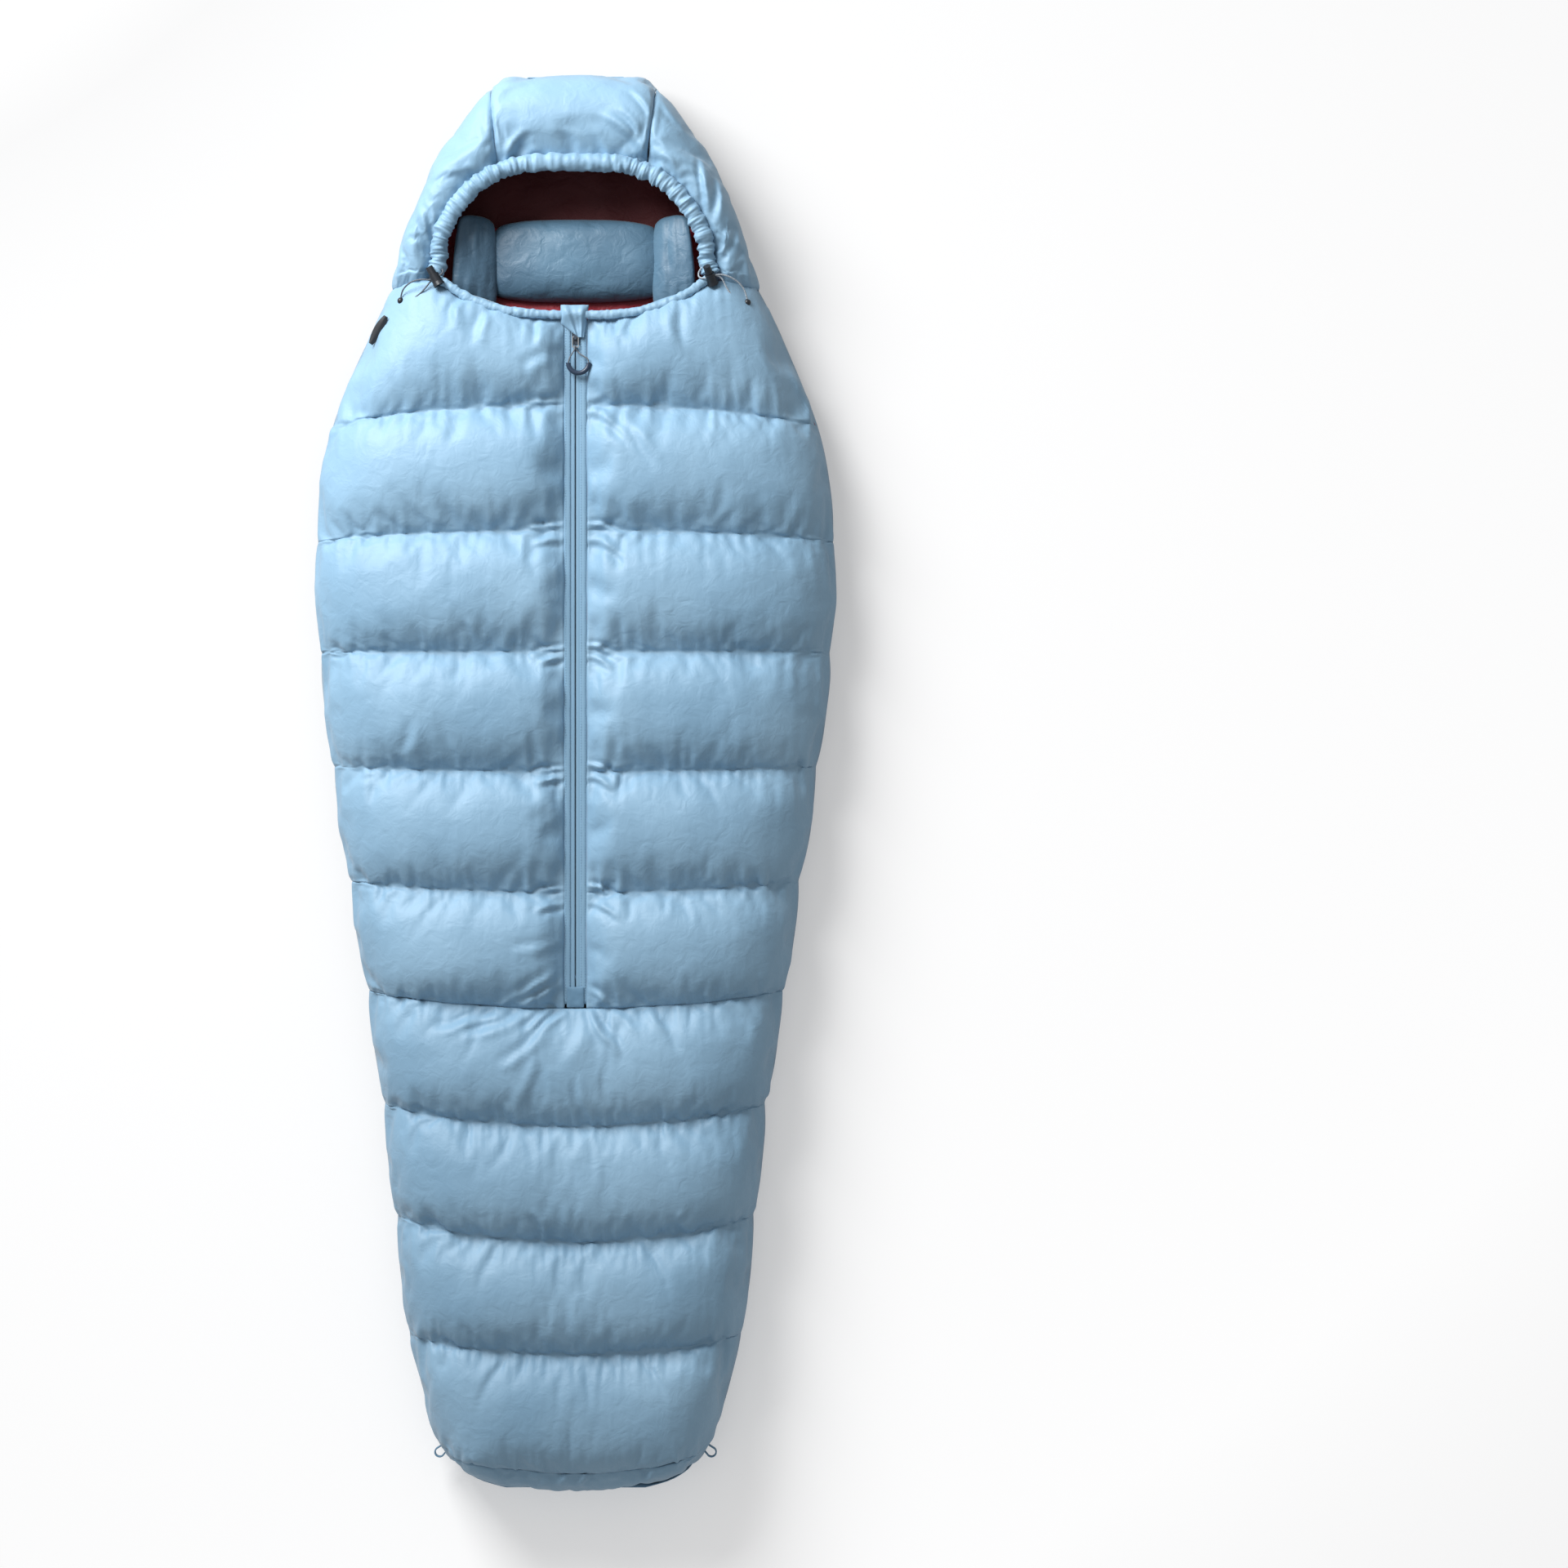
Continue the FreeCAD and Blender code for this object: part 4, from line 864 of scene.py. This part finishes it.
# Across a tape from its sewn edge to the coil: a share of its width and a height above it.
TAPE_SHAPE = [(0, -0.6), (0.04, 0.9), (0.1, 1.5), (0.3, 1.7), (0.5, 1.6), (0.58, 1.2), (0.61, 0.1),
              (0.66, 0.1), (0.72, 0.25), (0.86, 0.25), (0.95, 0.2), (1.0, -0.4)]
for side, word in ((-1, "left"), (1, "right")):
    points = []
    rows = round((zip_top - zip_bottom) / 6)
    for i in range(rows + 1):
        y = mix(zip_bottom, zip_top, i / rows)
        line = []
        for share, height in TAPE_SHAPE:
            x = zip_centre + side * mix(zip_half + 1, 0.9, share)
            ripple = 0.4 * min(1.0, max(0.0, height)) * noise.noise(Vector((share * 3 + side, y / 16, 0)))
            line.append(Vector((x + 0.3 * ripple, y, tape_top + height + ripple)))
        points.append(line if side > 0 else line[::-1])
    zero = [[0.0] * len(TAPE_SHAPE) for _ in points]
    tape = cloth_grid(f"zip_tape_{word}_cloth", points, zero, zero, tape_cloth)
    drop_groups(tape)
    only(tape)
    bpy.ops.object.shade_smooth()
    thicken(tape, 0.0007)
    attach(tape, "bag")
    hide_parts(f"zip_tape_{word}")

# Lockstitches, 3 mm long and 0.5 mm thick, beside each edge of the tapes.
stitch_thread, stitch_tree, stitch_shader = new_material(
    "polyester_sewing_thread", {"Base Color": linear("#4f7490"), "Roughness": 0.5,
                                "Sheen Weight": 0.2})
stitch_length, stitch_pitch, stitch_width = 2.6, 4.0, 0.7
corners, faces = [], []
for x in (zip_centre - 14.2, zip_centre - 8.4, zip_centre + 8.4, zip_centre + 14.2):
    for i in range(int((zip_top - zip_bottom - 12) / stitch_pitch)):
        y = zip_bottom + 8 + i * stitch_pitch
        base = len(corners)
        for along in (-0.5, 0, 0.5):
            height = tape_top + 1.55 + (0.5 if along == 0 else 0.0)
            for out in (-0.5, 0.5):
                corners.append(((x + out * stitch_width) / 1000, (y + along * stitch_length) / 1000,
                                height / 1000))
                corners.append(((x + out * stitch_width) / 1000, (y + along * stitch_length) / 1000,
                                (height - 0.5) / 1000))
        for k in (0, 4):
            faces += [(base + k, base + k + 2, base + k + 6, base + k + 4),
                      (base + k + 1, base + k + 5, base + k + 7, base + k + 3),
                      (base + k, base + k + 4, base + k + 5, base + k + 1),
                      (base + k + 2, base + k + 3, base + k + 7, base + k + 6)]
        faces += [(base, base + 1, base + 3, base + 2), (base + 8, base + 10, base + 11, base + 9)]
stitch_mesh = bpy.data.meshes.new("zip_stitches")
stitch_mesh.from_pydata(corners, [], faces)
stitch_mesh.materials.append(stitch_thread)
stitches = bpy.data.objects.new("zip_stitches", stitch_mesh)
bpy.context.scene.collection.objects.link(stitches)
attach(stitches, "bag")


def dress(node, material):
    """Give a carried-over CAD node its real finish on every slot."""
    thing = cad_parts[node]
    if not thing.material_slots:
        thing.data.materials.append(material)
    for entry in thing.material_slots:
        entry.material = material


coil_nylon = woven_tape("drawn_nylon_coil", "#3c566c", "#54738c", 0.0012)
for node in ("zip_coils", "zip_stops"):
    dress(node, coil_nylon)
dress("draft_tube", shell_cloth)

# The garage: a pocket of taffeta over the top of the zip, which the slider parks
# under. It is folded over the neck's hem, and its folds run down to the slider.
garage_top, garage_corner, garage_low = 703.0, 676.0, 655.0
garage_rows, garage_columns = 36, 30
points = []
for i in range(garage_rows + 1):
    y = mix(garage_top, garage_low, i / garage_rows)
    left = mix(-18, 8, max(0.0, (garage_corner - y) / (garage_corner - garage_low)))
    right = mix(24, 17, (garage_top - y) / (garage_top - garage_low))
    curl = math.sqrt(max(0.0, 1 - max(0.0, (y - 694) / 9.5) ** 2))
    line = []
    for j in range(garage_columns + 1):
        share = j / garage_columns
        x = mix(left, right, share)
        turn = math.atan2(x - 12, y - 640)
        fold = math.sin(turn * 15 + 1.2) + 0.5 * math.sin(turn * 31)
        crown = (1 - abs(2 * share - 1) ** 5) ** 0.5
        hill = 111.6 + 7.5 * math.exp(-((y - 690) / 12) ** 2)
        line.append(Vector((x, y, mix(107.5, hill, crown * curl) + 2.4 + 1.1 * fold * crown)))
    points.append(line)
zero = [[0.0] * (garage_columns + 1) for _ in points]
garage = cloth_grid("zip_garage_cloth", points, zero, zero, shell_cloth)
drop_groups(garage)
refine(garage)
thicken(garage, 0.0008)
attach(garage, "bag")
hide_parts("zip_garage")

# The patch over the zip's lower end: a darker folded tape, sewn along its edges.
patch_tape = woven_tape("woven_polyester_patch", "#557a95", "#668ca7", 0.0011)
patch_low, patch_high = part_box("zip_bottom_patch")
points = []
for i in range(15):
    y = mix(patch_low[1] * 1000, patch_high[1] * 1000, i / 14)
    line = []
    for j in range(13):
        share = j / 12
        x = mix(patch_low[0] * 1000, patch_high[0] * 1000, share)
        rim = min(min(i, 14 - i) / 2, min(j, 12 - j) / 2, 1.0)
        line.append(Vector((x, y, tape_top + 1.5 + 1.0 * rim ** 0.5
                            + 0.5 * noise.noise(Vector((x / 6, y / 6, 2))))))
    points.append(line)
zero = [[0.0] * 13 for _ in points]
patch = cloth_grid("zip_bottom_patch_cloth", points, zero, zero, patch_tape)
drop_groups(patch)
refine(patch)
thicken(patch, 0.001)
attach(patch, "bag")
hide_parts("zip_bottom_patch")

# ---------------------------------------------------------------------------
# Hardware: a painted zinc slider, a nickel-plated zinc tab, moulded acetal cord
# locks, plungers, balls and grip, and steel springs.


def moulded(name, code, roughness, grain):
    """Injection moulded acetal: a fine spark-eroded grain and a satin gloss."""
    material, tree, shader = new_material(name, {"Base Color": linear(code), "IOR": 1.48})
    place = add(tree, "ShaderNodeTexCoord").outputs["Object"]
    specks = add(tree, "ShaderNodeTexNoise", {"Vector": place, "Scale": 1 / grain, "Detail": 4.0})
    worn = add(tree, "ShaderNodeMapRange", {"Value": specks.outputs["Fac"], "To Min": roughness - 0.08,
                                            "To Max": roughness + 0.1})
    tree.links.new(worn.outputs["Result"], shader.inputs["Roughness"])
    relief = add(tree, "ShaderNodeBump", {"Height": specks.outputs["Fac"], "Strength": 0.25,
                                          "Distance": 0.0002})
    tree.links.new(relief.outputs["Normal"], shader.inputs["Normal"])
    return material


black_acetal = moulded("moulded_acetal_black", "#1d2127", 0.38, 0.0008)
navy_acetal = moulded("moulded_acetal_navy", "#27364a", 0.34, 0.001)
painted_zinc = moulded("painted_die_cast_zinc", "#39434f", 0.3, 0.0012)
plated_zinc, plated_tree, plated_shader = new_material(
    "nickel_plated_zinc", {"Base Color": linear("#c9cdd1"), "Metallic": 1.0, "Roughness": 0.28})
for node, material in (("slider_body", painted_zinc), ("pull_tab", plated_zinc),
                       ("pull_grip", navy_acetal), ("cord_lock_left", black_acetal),
                       ("cord_lock_right", black_acetal), ("cord_lock_plunger_left", black_acetal),
                       ("cord_lock_plunger_right", black_acetal),
                       ("cord_end_ball_left", black_acetal), ("cord_end_ball_right", black_acetal),
                       ("cord_lock_spring_left", plated_zinc),
                       ("cord_lock_spring_right", plated_zinc), ("hood_drawcord", dark_cord)):
    dress(node, material)

# ---------------------------------------------------------------------------
# Labels and loops: bare woven labels folded and sewn into the seams, and two
# loops of nylon webbing at the corners of the foot.
label_weave = woven_tape("woven_damask_label", "#15171b", "#2a2e35", 0.0009)
webbing = woven_tape("nylon_webbing_blue", "#587f9b", "#7ba0ba", 0.0014)
dress("neck_label", label_weave)

def height_at(piece, x, y, within=7.0):
    """The top of a cloth near a place, in mm."""
    return max(vertex.co.z * 1000 for vertex in piece.data.vertices
               if abs(vertex.co.x * 1000 - x) < within and abs(vertex.co.y * 1000 - y) < within)


# The side label is folded once and sewn into a seam of the left shoulder by its upper
# end, so it lies on the cloth like a leaf.
left_cloth = bpy.data.objects["front_cloth_left"]
label_start, label_end, label_width = (-276, 688), (-301, 650), 13.0
points = []
for i in range(19):
    way = i / 18
    x, y = mix(label_start[0], label_end[0], way), mix(label_start[1], label_end[1], way)
    ground = mix(height_at(left_cloth, *label_start), height_at(left_cloth, *label_end), way)
    half = label_width / 2 * math.sin(math.pi * (0.06 + 0.88 * way)) ** 0.7
    line = []
    for j in range(9):
        share = j / 4 - 1
        line.append(Vector((x + 0.84 * half * share, y - 0.55 * half * share,
                            ground + 3.6 - 2.6 * abs(share) + 1.5 * math.sin(way * 5))))
    points.append(line[::-1])
zero = [[0.0] * 9 for _ in points]
side_label = cloth_grid("side_label_leaf", points, zero, zero, label_weave)
drop_groups(side_label)
refine(side_label)
thicken(side_label, 0.0016)
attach(side_label, "bag")
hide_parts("side_label")

# Hang loops: 7 mm webbing on edge, bent round and sewn into the corners of the foot.
loop_level, webbing_height, webbing_thick = 34.5, 7.0, 2.2
corners, faces = [], []
for side in (-1, 1):
    anchor, out = Vector((side * 193, -990, 0)), Vector((side * 0.75, -0.66, 0))
    across = Vector((-out.y, out.x, 0))
    path = [anchor + across * -5]
    path += [anchor + out * (13 + 7 * math.sin(turn)) + across * (-7 * math.cos(turn))
             for turn in (math.pi * k / 14 for k in range(15))]
    path += [anchor + across * 5]
    base = len(corners)
    for k, place in enumerate(path):
        ahead, behind = path[min(k + 1, len(path) - 1)], path[max(k - 1, 0)]
        along = (ahead - behind).normalized()
        wide = Vector((-along.y, along.x, 0)) * webbing_thick / 2
        for offset, lift in ((wide, -1), (wide, 1), (-wide, 1), (-wide, -1)):
            spot = place + offset + Vector((0, 0, loop_level + lift * webbing_height / 2))
            corners.append(tuple(value / 1000 for value in spot))
    for k in range(len(path) - 1):
        for c in range(4):
            n = (c + 1) % 4
            faces.append((base + k * 4 + c, base + k * 4 + n, base + k * 4 + 4 + n,
                          base + k * 4 + 4 + c))
    faces += [(base, base + 3, base + 2, base + 1),
              tuple(base + (len(path) - 1) * 4 + c for c in range(4))]
loop_mesh = bpy.data.meshes.new("hang_loop_webbing")
loop_mesh.from_pydata(corners, [], faces)
loop_mesh.materials.append(webbing)
loops = bpy.data.objects.new("hang_loop_webbing", loop_mesh)
bpy.context.scene.collection.objects.link(loops)
only(loops)
bpy.ops.object.mode_set(mode="EDIT")
bpy.ops.mesh.select_all(action="SELECT")
bpy.ops.mesh.normals_make_consistent(inside=False)
bpy.ops.object.mode_set(mode="OBJECT")
rounding = loops.modifiers.new("edges", "BEVEL")
rounding.width, rounding.segments = 0.0005, 2
bpy.ops.object.modifier_apply(modifier=rounding.name)
bpy.ops.object.shade_smooth_by_angle(angle=math.radians(40))
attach(loops, "bag")
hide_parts("hang_loops")

# ---------------------------------------------------------------------------
# Studio: a plain pale floor, a soft key light from the upper left, and an even
# pale surround.
bpy.ops.object.select_all(action="DESELECT")
bpy.ops.mesh.primitive_plane_add(size=30, location=(0, 0, -0.001))
floor = bpy.context.active_object
floor.name = "floor"
floor_paint, floor_tree, floor_shader = new_material(
    "matt_paper_floor", {"Base Color": linear("#f1f1f2"), "Roughness": 0.9,
                         "Specular IOR Level": 0.1})
# The paper is greyer under the lamp and paler away from it, so it looks even all
# over, and what the camera sees of it is lifted, and the shadow stays.
spot = add(floor_tree, "ShaderNodeTexCoord").outputs["Object"]
away = add(floor_tree, "ShaderNodeVectorMath", {0: spot, 1: (-1.5, 2.2, 0.0)},
           operation="DISTANCE")
greys = add(floor_tree, "ShaderNodeMapRange", {"Value": away.outputs["Value"], "From Min": 1.4,
                                               "From Max": 4.0, "To Min": 0.27, "To Max": 0.93})
floor_tree.links.new(greys.outputs["Result"], floor_shader.inputs["Base Color"])
seen = add(floor_tree, "ShaderNodeLightPath").outputs["Is Camera Ray"]
lift = add(floor_tree, "ShaderNodeMath", {0: seen, 1: 0.33}, operation="MULTIPLY")
pale = add(floor_tree, "ShaderNodeEmission", {"Color": linear("#f8f8f9"),
                                              "Strength": lift.outputs[0]})
both = add(floor_tree, "ShaderNodeAddShader", {0: floor_shader.outputs["BSDF"],
                                               1: pale.outputs["Emission"]})
floor_tree.links.new(both.outputs[0], floor_tree.nodes["Material Output"].inputs["Surface"])
floor.data.materials.append(floor_paint)

key = bpy.data.objects.new("key", bpy.data.lights.new("key", "AREA"))
key.data.energy, key.data.size = 152.0, 1.6
key.location = (-1.5, 2.2, 1.7)
key.rotation_euler = Vector(key.location).to_track_quat("Z", "Y").to_euler()
bpy.context.scene.collection.objects.link(key)
world = bpy.data.worlds.new("surround")
world.use_nodes = True
world.node_tree.nodes["Background"].inputs["Color"].default_value = linear("#ffffff")
world.node_tree.nodes["Background"].inputs["Strength"].default_value = 0.42
bpy.context.scene.world = world
